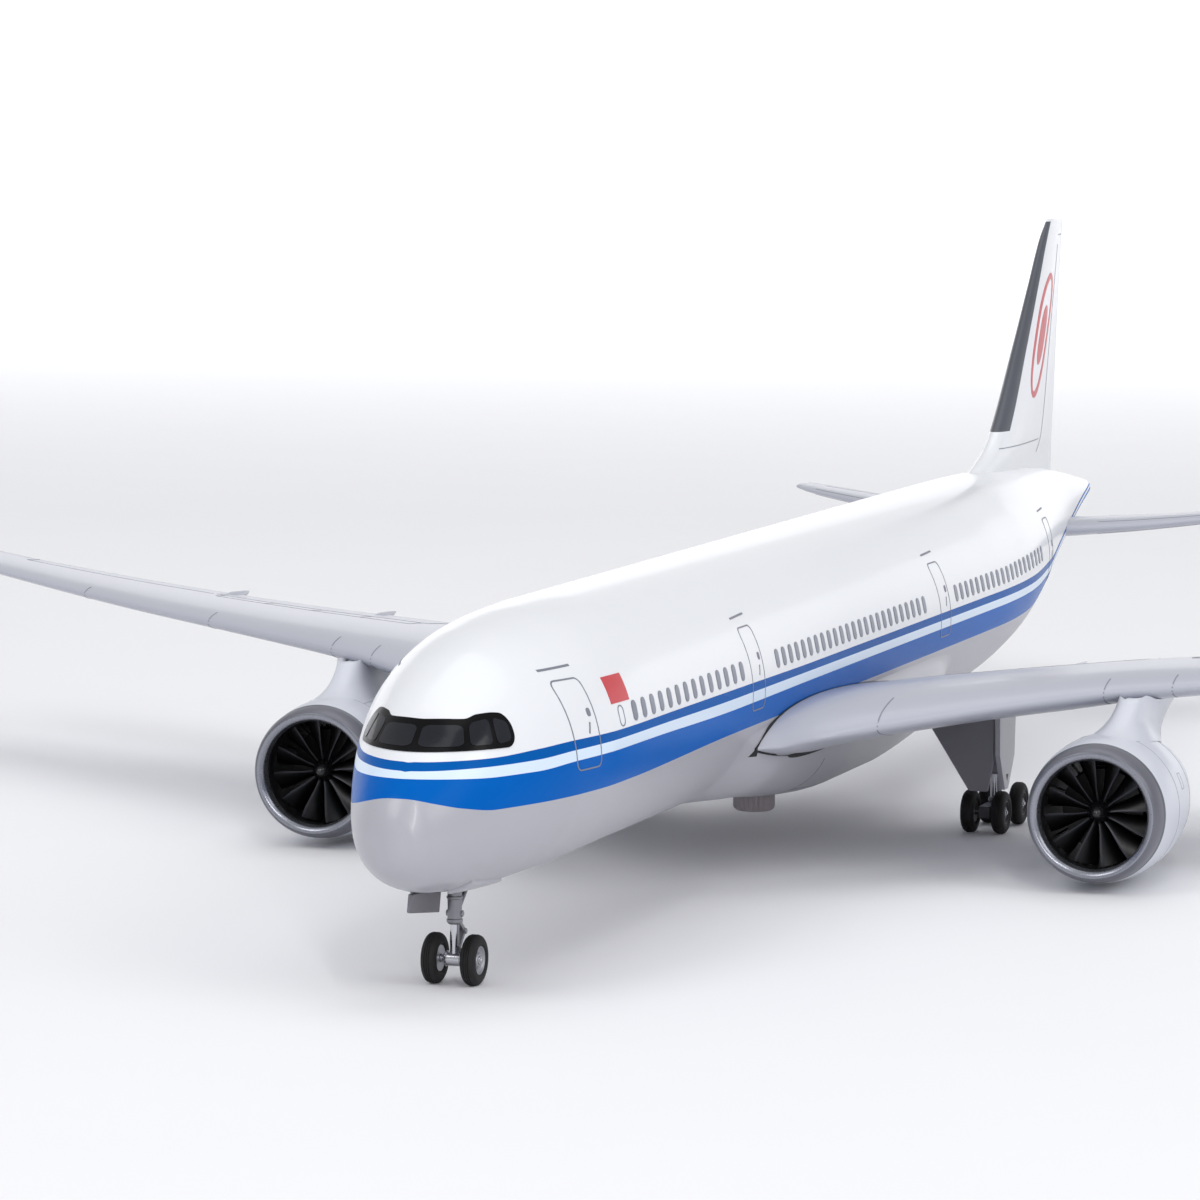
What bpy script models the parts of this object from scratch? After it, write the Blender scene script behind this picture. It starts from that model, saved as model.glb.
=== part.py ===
"""Desktop airliner model: a wide-body twin jet on its own wheels, built as separate mouldings.

Shapes are stated in full-size metres, as an aircraft drawing gives them, and SCALE turns them into
the model. +X is the left (port) wing, -Y the nose, +Z up. The origin is on the table, under the
middle of the model's length.
"""

import math

import bmesh
import bpy
from mathutils import Matrix, Vector

# ---------------------------------------------------------------- driving dimensions
SCALE = 1 / 142
NOSE, TAIL = 1.25, 65.4  # stations of the two ends of the fuselage, full size
AXIS_HEIGHT = 5.24  # fuselage centreline above the table, full size
MM = 0.001 / SCALE  # one millimetre on the model, in full-size metres
GAP = 0.3 * MM  # clearance between mouldings that only meet
RUNNING = 0.1 * MM  # radial clearance of a pin that turns
PRESSED = 0.05 * MM  # radial clearance drawn at a push fit

WALL = 1.8 * MM  # thickness of the fuselage shell
FUSELAGE_ARC = 9  # panels round each half of the fuselage
HOLLOW_FROM, HOLLOW_TO = 9.6, 55.0  # stations between which the fuselage is hollow

ENGINE_X, ENGINE_Z = 10.5, -3.23  # engine axis from the fuselage centreline
ENGINE_FRONT = 22.85  # station of the intake's front edge
FAN_SETBACK = 0.42
FAN_BLADES = 12

WHEEL_R, TYRE_WIDTH = 0.58, 0.36
HUB_R, AXLE_R = 0.33, 0.085
NOSE_GEAR_STATION, NOSE_WHEEL_X = 5.22, 0.47
NOSE_DOOR_X, NOSE_DOOR_THICK = 0.46, 0.10  # hinge line of the nose-gear doors, from the middle
NOSE_LEG_R, NOSE_LEG_TOP = 0.125, -2.15
PLATE_THICK = 0.13  # links, doors and plates of the landing gear
MAIN_GEAR_STATION, MAIN_GEAR_X = 33.35, 5.325
BOGIE_HALF_BASE, MAIN_WHEEL_X = 0.96, 0.425
AXLE_Z = WHEEL_R - AXIS_HEIGHT

WING_ROOT_X = 3.1  # the belly fairing's flat side, where the wing meets it
JOINER_Y, JOINER_Z = 27.3, -1.35
PLUG_STATION = 28.3

WHITE = (0.80, 0.81, 0.83)
LIGHT_GREY = (0.62, 0.63, 0.68)
SILVER = (0.55, 0.56, 0.58)
BLACK = (0.02, 0.02, 0.025)


# ---------------------------------------------------------------- small helpers
def place(x, station, height):
    """A full-size point (its station, and its height from the fuselage centreline) on the model."""
    return Vector((x, station - (NOSE + TAIL) / 2, height + AXIS_HEIGHT)) * SCALE


def material(name, colour, roughness, metallic=0.0):
    found = bpy.data.materials.get(name)
    if found:
        return found
    made = bpy.data.materials.new(name)
    made.use_nodes = True
    shader = made.node_tree.nodes["Principled BSDF"]
    shader.inputs["Base Color"].default_value = (*colour, 1)
    shader.inputs["Roughness"].default_value = roughness
    shader.inputs["Metallic"].default_value = metallic
    return made


def object_from(name, bm, finish=None):
    """Puts a bmesh into the scene as one smooth-shaded object."""
    bmesh.ops.recalc_face_normals(bm, faces=bm.faces)
    mesh = bpy.data.meshes.new(name)
    bm.to_mesh(mesh)
    bm.free()
    mesh.shade_smooth()
    mesh.set_sharp_from_angle(angle=math.radians(35))
    made = bpy.data.objects.new(name, mesh)
    bpy.context.scene.collection.objects.link(made)
    if finish:
        mesh.materials.append(material(*finish))
    return made


def hide(cutter):
    cutter.hide_render = True
    cutter.display_type = "WIRE"
    return cutter


def combine(target, operation, *others):
    """Adds one exact Boolean modifier for each other object, which becomes a hidden helper."""
    for other in others:
        modifier = target.modifiers.new(f"{operation.lower()}_{other.name}", "BOOLEAN")
        modifier.operation = operation
        modifier.solver = "EXACT"
        modifier.object = hide(other)
    return target


def smooth(table, at):
    """A smooth curve through (place, value) pairs, read at one place."""
    if at <= table[0][0]:
        return table[0][1]
    if at >= table[-1][0]:
        return table[-1][1]
    last = len(table) - 1
    i = max(k for k in range(last) if table[k][0] <= at)

    def slope(k):
        if k == 0 or k == last:
            a, b = (0, 1) if k == 0 else (last - 1, last)
            return (table[b][1] - table[a][1]) / (table[b][0] - table[a][0])
        left = (table[k][1] - table[k - 1][1]) / (table[k][0] - table[k - 1][0])
        right = (table[k + 1][1] - table[k][1]) / (table[k + 1][0] - table[k][0])
        return 0.0 if left * right <= 0 else 2 * left * right / (left + right)

    (x0, y0), (x1, y1) = table[i], table[i + 1]
    span = x1 - x0
    t = (at - x0) / span
    h00, h10 = 2 * t**3 - 3 * t**2 + 1, t**3 - 2 * t**2 + t
    h01, h11 = 3 * t**2 - 2 * t**3, t**3 - t**2
    return h00 * y0 + h10 * span * slope(i) + h01 * y1 + h11 * span * slope(i + 1)


def loft(rings, foil=False):
    """One closed skin over rings of the same number of points, with both ends filled."""
    bm = bmesh.new()
    rows = [[bm.verts.new(p) for p in ring] for ring in rings]
    count = len(rows[0])
    for a, b in zip(rows, rows[1:]):
        for i in range(count):
            j = (i + 1) % count
            bm.faces.new((a[i], a[j], b[j], b[i]))
    for row in (rows[0], rows[-1]):
        if not foil:
            bm.faces.new(row)
            continue
        # an aerofoil's end is laddered across from its upper to its lower surface
        middle = count // 2
        for i in range(middle - 1):
            bm.faces.new((row[i], row[i + 1], row[count - 2 - i], row[count - 1 - i]))
        bm.faces.new((row[middle - 1], row[middle], row[middle + 1]))
    return bm


def box(name, low, high, finish=None):
    """A box between two full-size corners."""
    (x0, y0, z0), (x1, y1, z1) = low, high
    ring = [(x0, y0), (x1, y0), (x1, y1), (x0, y1)]
    bm = loft([[place(x, y, z) for x, y in ring] for z in (z0, z1)])
    return object_from(name, bm, finish)


def turned(name, profile, centre, axis, segments, finish=None):
    """A solid of revolution. profile is a closed loop of (along, radius) in full-size metres."""
    turn = {"X": Matrix.Rotation(math.pi / 2, 3, "Y"), "Y": Matrix.Rotation(-math.pi / 2, 3, "X"),
            "Z": Matrix.Identity(3)}[axis]
    on_axis = [k for k, (_, r) in enumerate(profile) if r < 1e-9]
    bm = bmesh.new()
    rows = []
    for s in range(segments):
        angle = 2 * math.pi * (s + 0.5) / segments
        c, n = math.cos(angle), math.sin(angle)
        rows.append([
            None if k in on_axis else bm.verts.new(centre + turn @ Vector((r * c, r * n, a)) * SCALE)
            for k, (a, r) in enumerate(profile)])
    poles = {k: bm.verts.new(centre + turn @ Vector((0, 0, profile[k][0])) * SCALE) for k in on_axis}
    for s in range(segments):
        here, there = rows[s], rows[(s + 1) % segments]
        for k in range(len(profile)):
            m = (k + 1) % len(profile)
            corners = [poles.get(k) or here[k], poles.get(m) or here[m],
                       poles.get(m) or there[m], poles.get(k) or there[k]]
            unique = list(dict.fromkeys(corners))
            if len(unique) > 2:
                bm.faces.new(unique)
    return object_from(name, bm, finish)


def rod(name, start, end, radius, segments=12, finish=None):
    """A plain round bar between two full-size points, with its own radius at each end if given two."""
    a, b = place(*start), place(*end)
    r0, r1 = radius if isinstance(radius, tuple) else (radius, radius)
    along = (b - a).normalized()
    side = along.orthogonal().normalized()
    if abs(along.x) > 0.99:
        side = Vector((0, 0, 1))
    other = along.cross(side)
    rings = []
    for point, r in ((a, r0), (b, r1)):
        rings.append([point + (side * math.cos(t) + other * math.sin(t)) * r * SCALE
                      for t in (2 * math.pi * (k + 0.5) / segments for k in range(segments))])
    return object_from(name, loft(rings), finish)


def plate(name, outline, thickness, axis, middle, finish=None):
    """A flat sheet: outline is a list of two coordinates in the plane across axis, at `middle`."""
    rings = []
    for side in (-0.5, 0.5):
        at = middle + side * thickness
        if axis == "X":
            rings.append([place(at, y, z) for y, z in outline])
        else:
            rings.append([place(x, at, z) for x, z in outline])
    return object_from(name, loft(rings), finish)


# ---------------------------------------------------------------- fuselage
# (station, value) tables; stations count from a datum ahead of the nose, as on an airliner drawing
HALF_WIDTH = [(1.25, 0.24), (1.35, 0.50), (1.6, 0.84), (2.1, 1.22), (3.0, 1.65), (4.0, 2.03), (5.1, 2.39),
              (6.4, 2.70), (8.2, 2.93), (10.2, 2.98), (43, 2.98), (47, 2.85), (51, 2.42), (55, 1.78),
              (59, 1.14), (62.6, 0.60), (TAIL, 0.24)]
TOP = [(1.25, -1.14), (1.35, -0.88), (1.6, -0.44), (2.1, 0.08), (2.7, 0.62), (3.4, 1.28), (4.2, 1.84),
       (5.4, 2.36), (7.0, 2.74), (9.2, 2.98), (11.5, 3.045), (49, 3.045), (54, 2.94), (58, 2.70), (62, 2.24),
       (TAIL, 1.76)]
BOTTOM = [(1.25, -1.92), (1.35, -2.14), (1.6, -2.38), (2.1, -2.62), (3.0, -2.82), (4.2, -2.94), (6.2, -3.02),
          (9, -3.045), (40, -3.045), (44, -2.88), (48, -2.38), (52, -1.60), (56, -0.74), (60, 0.12),
          (TAIL, 1.26)]
WIDEST = [(1.25, -1.52), (2.4, -1.35), (4.2, -0.90), (7, -0.25), (10, 0), (44, 0), (55, 0.80), (TAIL, 1.50)]
FUSELAGE_STATIONS = [NOSE, 1.35, 1.6, 2.1, 2.8, 3.6, 4.5, 5.6, 7.2, 9.2, 13, 18, 26, 34, 41, 45, 49, 53, 57,
                     61, 64, TAIL]


def section_point(station, angle, inset=0.0):
    """A point of the fuselage's outline: angle 0 is the left side, 90 degrees the crown."""
    widest = smooth(WIDEST, station)
    half = max(smooth(HALF_WIDTH, station) - inset, 0.01)
    top = max(smooth(TOP, station) - widest - inset, 0.01)
    bottom = max(widest - smooth(BOTTOM, station) - inset, 0.01)
    rise = top if math.sin(angle) > 0 else bottom
    return half * math.cos(angle), widest + rise * math.sin(angle)


def half_shell(name, side, finish):
    """One half of the fuselage: an outer arc, an inner arc and a flat joint face near the centreline."""
    joint = GAP / 2
    stations = sorted(set(FUSELAGE_STATIONS + [HOLLOW_FROM - 0.5, HOLLOW_FROM, HOLLOW_TO, HOLLOW_TO + 0.6]))
    rings = []
    for station in stations:
        hollow = HOLLOW_FROM <= station <= HOLLOW_TO
        depth = min(WALL, 0.4 * smooth(HALF_WIDTH, station))
        outer, inner = [], []
        for k in range(FUSELAGE_ARC + 1):
            angle = -math.pi / 2 + math.pi * k / FUSELAGE_ARC
            x, z = section_point(station, angle)
            outer.append(place(side * max(x, joint), station, z))
            x, z = section_point(station, angle, depth)
            inner.append(place(side * (max(x, joint) if hollow else joint), station, z))
        rings.append(outer + inner[::-1])
    return object_from(name, loft(rings), finish)


# ---------------------------------------------------------------- cockpit glazing
GLAZING_PIVOT = 5.2  # station the glazing's edges are swept round
GLAZING_SWEEP = 61  # degrees either side of straight ahead
GLAZING_MARGIN = 2.0  # how much further round the pocket for it reaches, in degrees
GLAZING_LOW = [(0, 0.40), (30, 0.41), (45, 0.42), (54, 0.43), (61, 0.56)]
GLAZING_HIGH = [(0, 1.03), (30, 1.10), (48, 1.12), (56, 1.06), (61, 0.90)]
GLAZING_DEPTH = 0.9 * MM


def nose_point(angle, height, outward=0.0):
    """Where a level ray from the pivot leaves the nose, `angle` degrees off straight ahead."""
    dx, dy = math.sin(math.radians(angle)), -math.cos(math.radians(angle))
    low, high = 0.0, 7.0
    for _ in range(40):
        reach = (low + high) / 2
        x, station = reach * dx, GLAZING_PIVOT + reach * dy
        inside = False
        if station > NOSE:
            widest = smooth(WIDEST, station)
            rise = smooth(TOP, station) - widest if height > widest else widest - smooth(BOTTOM, station)
            inside = (x / smooth(HALF_WIDTH, station)) ** 2 + ((height - widest) / rise) ** 2 < 1
        low, high = (reach, high) if inside else (low, reach)
    reach = low + outward
    return place(reach * dx, GLAZING_PIVOT + reach * dy, height)


def glazing_band(name, grow, skin, depth, finish=None):
    """The wrap-round window band as a solid between two offsets of the nose."""
    rings = []
    steps = 24
    for k in range(steps + 1):
        angle = (-1 + 2 * k / steps) * (GLAZING_SWEEP + (GLAZING_MARGIN if grow else 0))
        edge = min(abs(angle), GLAZING_SWEEP)
        low = smooth(GLAZING_LOW, edge) - grow
        high = smooth(GLAZING_HIGH, edge) + grow
        heights = [low + (high - low) * t for t in (0, 0.5, 1)]
        ring = [nose_point(angle, h, skin) for h in heights]
        ring += [nose_point(angle, h, -depth) for h in reversed(heights)]
        rings.append(ring)
    return object_from(name, loft(rings), finish)


# ---------------------------------------------------------------- belly fairing
FAIRING_TOP = -0.76
FAIRING_WIDTH = [(18, 2.75), (19.2, 2.93), (20.5, 3.06), (22, WING_ROOT_X), (35, WING_ROOT_X), (39, 2.95)]
FAIRING_BOTTOM = [(18, 3.05), (21, 3.12), (23, 3.32), (25, 3.56), (27, 3.75), (28, 3.80), (32.5, 3.80),
                  (35.5, 3.60), (39, 3.15)]
FAIRING_STATIONS = [18, 19, 20, 21, 22.5, 24, 26, 29, 32, 34, 36, 37.5, 39]
FAIRING_ARC = 13


def fairing_side(station):
    """Half-width of the belly fairing, never less than the fuselage with the thinnest fairing on it."""
    return max(smooth(FAIRING_WIDTH, station), smooth(HALF_WIDTH, station) + GAP + 0.06)


def belly_fairing(name, finish):
    rings = []
    for station in FAIRING_STATIONS:
        half, deep = fairing_side(station), smooth(FAIRING_BOTTOM, station)
        a, b = smooth(HALF_WIDTH, station) + GAP, GAP - smooth(BOTTOM, station)
        outer, inner = [], []
        for k in range(FAIRING_ARC + 1):
            angle = -math.pi * k / FAIRING_ARC
            c, s = math.cos(angle), math.sin(angle)
            # distance from (0, FAIRING_TOP) to the fuselage's lower ellipse, centred on the centreline
            qa, qb, qc = (c / a) ** 2 + (s / b) ** 2, 2 * FAIRING_TOP * s / b**2, (FAIRING_TOP / b) ** 2 - 1
            reach = (-qb + math.sqrt(qb * qb - 4 * qa * qc)) / (2 * qa)
            power = 2.9
            square = (abs(c / half) ** power + abs(s / (deep + FAIRING_TOP)) ** power) ** (-1 / power)
            wide = max(reach + 0.11, square)
            inner.append(place(reach * c, station, FAIRING_TOP + reach * s))
            outer.append(place(wide * c, station, FAIRING_TOP + wide * s))
        rings.append(outer + inner[::-1])
    return object_from(name, loft(rings), finish)


# ---------------------------------------------------------------- wings
# span: leading-edge station, leading-edge height, chord, thickness, trailing-edge height
WING = [(3.1, 19.30, -1.50, 14.30, 1.60, -1.38), (3.6, 20.55, -1.42, 13.10, 1.54, -1.30),
        (4.3, 21.45, -1.32, 12.30, 1.46, -1.20), (5.6, 22.55, -1.12, 11.35, 1.30, -1.02),
        (7.8, 24.25, -0.80, 9.95, 1.08, -0.76), (10.5, 26.20, -0.50, 8.40, 0.84, -0.48),
        (15.0, 29.20, -0.28, 6.95, 0.64, -0.36), (20.0, 32.55, -0.08, 5.45, 0.50, -0.15),
        (25.0, 35.90, 0.22, 3.95, 0.37, 0.17), (28.0, 37.95, 0.46, 3.05, 0.30, 0.43),
        (29.6, 39.20, 0.70, 2.62, 0.27, 0.67), (30.9, 40.45, 1.15, 2.15, 0.24, 1.12),
        (31.8, 41.70, 1.80, 1.62, 0.20, 1.78), (32.3, 42.80, 2.55, 1.05, 0.17, 2.54)]
CHORD_POINTS = [1, 0.86, 0.66, 0.46, 0.28, 0.14, 0.05, 0.012]


def half_thickness(c):
    """Share of the full thickness above (or below) the chord line at a share of the chord."""
    return 5.0 * (0.2969 * math.sqrt(c) - 0.126 * c - 0.3516 * c**2 + 0.2843 * c**3 - 0.1015 * c**4)


def wing_values(span):
    return [smooth([(row[0], row[i]) for row in WING], span) for i in range(1, 6)]


def wing_height(span, station, upper):
    """Height of the wing's upper or lower surface at a point in plan."""
    front, high, chord, thick, back = wing_values(span)
    c = min(max((station - front) / chord, 0.0), 1.0)
    half = max(half_thickness(c) * thick, 0.032)
    share = 0.52 if upper else -0.48
    return high + (back - high) * c + 2 * share * half


def wing(name, side, finish):
    rings = []
    for row, (span, front, high, chord, thick, back) in enumerate(WING):
        ring = []
        lean = 0.0
        if span > 28.0:
            before, after = WING[row - 1], WING[min(row + 1, len(WING) - 1)]
            lean = math.atan2(after[2] - before[2], after[0] - before[0])
        for upper, chords in ((True, CHORD_POINTS), (False, [0.0] + CHORD_POINTS[::-1])):
            for c in chords:
                half = max(half_thickness(c) * thick, 0.032) if c else 0.0
                rise = 2 * half * (0.52 if upper else -0.48)
                x = span - rise * math.sin(lean)
                if row == 0:
                    x = fairing_side(front + chord * c) + GAP
                z = high + (back - high) * c + rise * math.cos(lean)
                ring.append(place(side * x, front + chord * c, z))
        rings.append(ring)
    return object_from(name, loft(rings, foil=True), finish)


# ---------------------------------------------------------------- tail
# height: leading edge, trailing edge, half thickness
FIN = [(0.0, 50.2, 60.7, 0.30), (3.62, 52.7, 60.75, 0.42), (4.3, 53.7, 60.85, 0.40), (6.5, 55.9, 61.15, 0.31),
       (8.5, 57.8, 61.45, 0.23), (9.9, 59.1, 61.7, 0.17), (10.45, 59.8, 61.8, 0.11)]
# span: leading edge, trailing edge, height, half thickness
TAILPLANE = [(0.0, 56.6, 61.9, 0.72, 0.30), (3.0, 58.4, 62.8, 0.86, 0.24), (6.0, 60.7, 63.9, 1.08, 0.17),
             (8.7, 62.7, 64.85, 1.30, 0.11), (9.3, 63.4, 64.95, 1.36, 0.08)]
TAIL_CHORDS = [1, 0.8, 0.5, 0.25, 0.08, 0.015]


def tail_ring(front, back, half, point):
    ring = []
    for side, chords in ((1, TAIL_CHORDS), (-1, [0.0] + TAIL_CHORDS[::-1])):
        for c in chords:
            offset = side * max(2 * half_thickness(c) * half, 0.030) if c else 0.0
            ring.append(point(front + (back - front) * c, offset))
    return ring


def fin(name, finish):
    rings = []
    for row, (height, front, back, half) in enumerate(FIN):
        def point(station, offset, row=row, height=height):
            z = smooth(TOP, station) + GAP + 0.03 if row == 0 else height
            return place(offset, station, z)
        rings.append(tail_ring(front, back, half, point))
    return object_from(name, loft(rings, foil=True), finish)


def fuselage_side(station, height):
    """Half-width of the fuselage at a station and a height."""
    widest = smooth(WIDEST, station)
    rise = smooth(TOP, station) - widest if height > widest else widest - smooth(BOTTOM, station)
    return smooth(HALF_WIDTH, station) * math.sqrt(max(1 - ((height - widest) / rise) ** 2, 0.0))


def tailplane(name, side, finish):
    rings = []
    for row, (span, front, back, height, half) in enumerate(TAILPLANE):
        def point(station, offset, row=row, span=span, height=height):
            x = fuselage_side(station, height + offset) + GAP + 0.03 if row == 0 else span
            return place(side * x, station, height + offset)
        rings.append(tail_ring(front, back, half, point))
    return object_from(name, loft(rings, foil=True), finish)


# ---------------------------------------------------------------- engines
LIP_LENGTH = 0.46
DUCT_R = 1.44
COWL_OUTSIDE = [(LIP_LENGTH, 1.755), (1.2, 1.85), (2.1, 1.87), (3.3, 1.77), (4.6, 1.52), (5.6, 1.28)]
COWL_INSIDE = [(0.80, DUCT_R), (1.75, DUCT_R), (3.3, 1.42), (4.6, 1.34), (5.6, 1.20)]
FAN_HUB_R, FAN_TIP_R, FAN_PIN_R = 0.29, 1.37, 0.13
# radius, stagger in degrees, chord, thickness
BLADE_STATIONS = [(0.46, 24, 0.34, 0.085), (0.80, 38, 0.46, 0.082), (1.12, 50, 0.54, 0.080),
                  (FAN_TIP_R, 58, 0.58, 0.078)]


def nacelle_profile():
    start = LIP_LENGTH + 0.3 * GAP
    return [(start, 1.40)] + COWL_INSIDE + COWL_OUTSIDE[:0:-1] + [(start, 1.755)]


def lip_profile():
    return [(LIP_LENGTH, 1.40), (0.22, 1.385), (0.07, 1.43), (0.0, 1.53), (0.03, 1.63), (0.17, 1.70),
            (LIP_LENGTH, 1.755)]


def core_profile():
    disc = 1.80
    return [(0.95, 0.0), (0.95, FAN_PIN_R), (disc, FAN_PIN_R), (disc, DUCT_R - PRESSED - 0.01),
            (disc + 0.22, DUCT_R - PRESSED - 0.01), (disc + 0.22, 1.12), (3.6, 1.18), (5.2, 1.02), (6.6, 0.70),
            (6.6, 0.52), (7.35, 0.10), (7.35, 0.0)]


def fan(name, centre, finish):
    """A spinner and hub with a blind bore, and one twisted blade drawn out of every second panel."""
    bore = FAN_PIN_R + RUNNING
    profile = [(0, 0.0), (0.10, 0.15), (0.24, 0.25), (0.36, FAN_HUB_R), (0.72, FAN_HUB_R), (0.72, bore),
               (0.40, bore), (0.40, 0.0)]
    made = turned(name, profile, Vector((0, 0, 0)), "Y", 2 * FAN_BLADES, finish)
    bm = bmesh.new()
    bm.from_mesh(made.data)

    def is_side(face):
        middle = face.calc_center_median()
        out = Vector((middle.x, 0, middle.z)).length
        return abs(face.normal.y) < 0.05 and out > 0.9 * FAN_HUB_R * SCALE

    sides = [f for f in bm.faces if is_side(f)]
    sides.sort(key=lambda f: math.atan2(f.calc_center_median().z, f.calc_center_median().x))
    for face in sides[::2]:
        middle = face.calc_center_median()
        out = Vector((middle.x, 0, middle.z)).normalized()
        across = Vector((0, 1, 0)).cross(out)
        known = []
        for vert in face.verts:
            rel = vert.co - middle
            known.append((vert.co.copy(), 1 if rel.y > 0 else -1, 1 if rel.dot(across) > 0 else -1))
        for radius, turn, chord, thick in BLADE_STATIONS:
            face = bmesh.ops.extrude_discrete_faces(bm, faces=[face])["faces"][0]
            lean = math.radians(turn)
            along = Vector((0, math.cos(lean), 0)) + across * math.sin(lean)
            flat = across * math.cos(lean) - Vector((0, math.sin(lean), 0))
            corners = []
            for vert in face.verts:
                _, fore, aside = min(known, key=lambda entry, co=vert.co: (entry[0] - co).length)
                corners.append((vert, fore, aside))
            middle = out * radius + Vector((0, 0.54, 0))
            for vert, fore, aside in corners:
                vert.co = (middle + along * fore * chord / 2 + flat * aside * thick / 2) * SCALE
            known = [(vert.co.copy(), fore, aside) for vert, fore, aside in corners]
    bm.to_mesh(made.data)
    bm.free()
    made.location = centre
    return made


def pylon(name, side, finish):
    """A slab that follows the cowl below and the wing's leading edge and underside above."""
    width = 0.42

    def cowl_top(station):
        return ENGINE_Z + smooth(COWL_OUTSIDE, station - ENGINE_FRONT) + GAP

    rings = []
    for offset in (-width, width):
        x = ENGINE_X + offset
        front = wing_values(x)[0]
        below = [(s, cowl_top(s)) for s in (24.3, 25.2, 26.3, 27.4, 28.4)]
        below += [(29.4, -1.62), (31.2, -1.10)]
        under = [(s, wing_height(x, s, False) - GAP) for s in (31.6, 30.2, 28.8, 27.6, front + 0.5, front + 0.14)]
        nose = [(front - 0.10, wing_height(x, front + 0.14, False) + 0.05), (front - 0.12, -0.44),
                (front - 0.30, -0.38), (25.2, -0.58), (24.3, -1.02)]
        rings.append([place(side * x, s, z) for s, z in below + under + nose])
    return object_from(name, loft(rings), finish)


# ---------------------------------------------------------------- landing gear
TYRE = [(-0.5, 0.0), (-0.42, 0.62), (-0.12, 1.0), (0.12, 1.0), (0.42, 0.62), (0.5, 0.0)]
TYRE_FINISH = ("tyre", BLACK, 0.85)
HUB_FINISH = ("hub grey", (0.42, 0.42, 0.44), 0.45)
STRUT_FINISH = ("strut grey", (0.40, 0.40, 0.42), 0.40)
STEEL_FINISH = ("bright steel", (0.60, 0.60, 0.62), 0.25, 1.0)
DOOR_FINISH = ("door grey", LIGHT_GREY, 0.4)
CORE_FINISH = ("core grey", (0.25, 0.25, 0.27), 0.4, 0.7)


def at_axis(made, centre):
    """Moves an object's origin to a point without moving the object."""
    made.data.transform(Matrix.Translation(-centre))
    made.location = centre
    return made


def wheel(name, x, station, outward):
    """A tyre on its own hub; outward is the side the hub's open face looks to."""
    centre = place(x, station, AXLE_Z)
    inside = HUB_R + PRESSED
    half = TYRE_WIDTH / 2
    profile = [(TYRE_WIDTH * a, inside + (WHEEL_R - inside) * r) for a, r in TYRE]
    at_axis(turned(f"{name}_tyre", profile, centre, "X", 18, TYRE_FINISH), centre)
    bore = AXLE_R + PRESSED
    dish = [(-half * 0.8, bore), (half * 0.8, bore), (half * 0.8, 0.15), (half * 0.45, 0.24), (half * 0.8, HUB_R),
            (-half * 0.8, HUB_R)]
    profile = [(a * outward, r) for a, r in dish]
    at_axis(turned(f"{name}_hub", profile, centre, "X", 14, HUB_FINISH), centre)


def axle(name, x, station, reach):
    centre = place(x, station, AXLE_Z)
    made = rod(name, (x - reach, station, AXLE_Z), (x + reach, station, AXLE_Z), AXLE_R, 12, STEEL_FINISH)
    return at_axis(made, centre)


def axle_hole(x, station):
    return rod("cut_axle", (x - 1, station, AXLE_Z), (x + 1, station, AXLE_Z), AXLE_R + RUNNING, 16)


def nose_gear():
    y = NOSE_GEAR_STATION
    knee = y + 0.44  # the bend of the torque link
    for label, side in (("left", 1), ("right", -1)):
        wheel(f"nose_wheel_{label}", side * NOSE_WHEEL_X, y, side)
    axle("nose_axle", 0, y, NOSE_WHEEL_X + 0.15)
    leg = rod("nose_gear_leg", (0, y, AXLE_Z + 0.02), (0, y, NOSE_LEG_TOP), NOSE_LEG_R, 12, STRUT_FINISH)
    combine(leg, "UNION",
            rod("add_boss", (-0.22, y, AXLE_Z), (0.22, y, AXLE_Z), 0.19, 16),
            rod("add_sleeve", (0, y, -3.78), (0, y, -3.12), 0.18, 14),
            rod("add_drag", (0, y + 0.05, -3.70), (0, y + 0.85, -3.10), 0.07, 8),
            plate("add_link_low", [(y, -4.42), (knee, -4.10), (knee, -4.02), (y, -4.26)], PLATE_THICK, "X", 0),
            plate("add_link_high", [(y, -3.80), (knee, -4.10), (knee, -4.01), (y, -3.62)], PLATE_THICK, "X", 0))
    combine(leg, "DIFFERENCE", axle_hole(0, y))
    # the right door hangs straight down, the left one lies flared out under the belly
    for label, side, spread, drop in (("left", 1, 0.44, 0.03), ("right", -1, 0.05, 0.58)):
        rings = []
        for station, share in ((3.45, 0.75), (5.35, 1.0)):
            top = smooth(BOTTOM, station) - GAP - 0.02
            hinge, edge = (NOSE_DOOR_X, top), (NOSE_DOOR_X + spread * share, top - drop * share)
            lean = math.atan2(edge[0] - hinge[0], hinge[1] - edge[1])
            across, up = NOSE_DOOR_THICK * math.cos(lean), NOSE_DOOR_THICK * math.sin(lean)
            ring = [hinge, edge, (edge[0] - across, edge[1] - up), (hinge[0] - across, hinge[1] - up)]
            rings.append([place(side * x, station, z) for x, z in ring])
        object_from(f"nose_gear_door_{label}", loft(rings), DOOR_FINISH)


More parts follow.
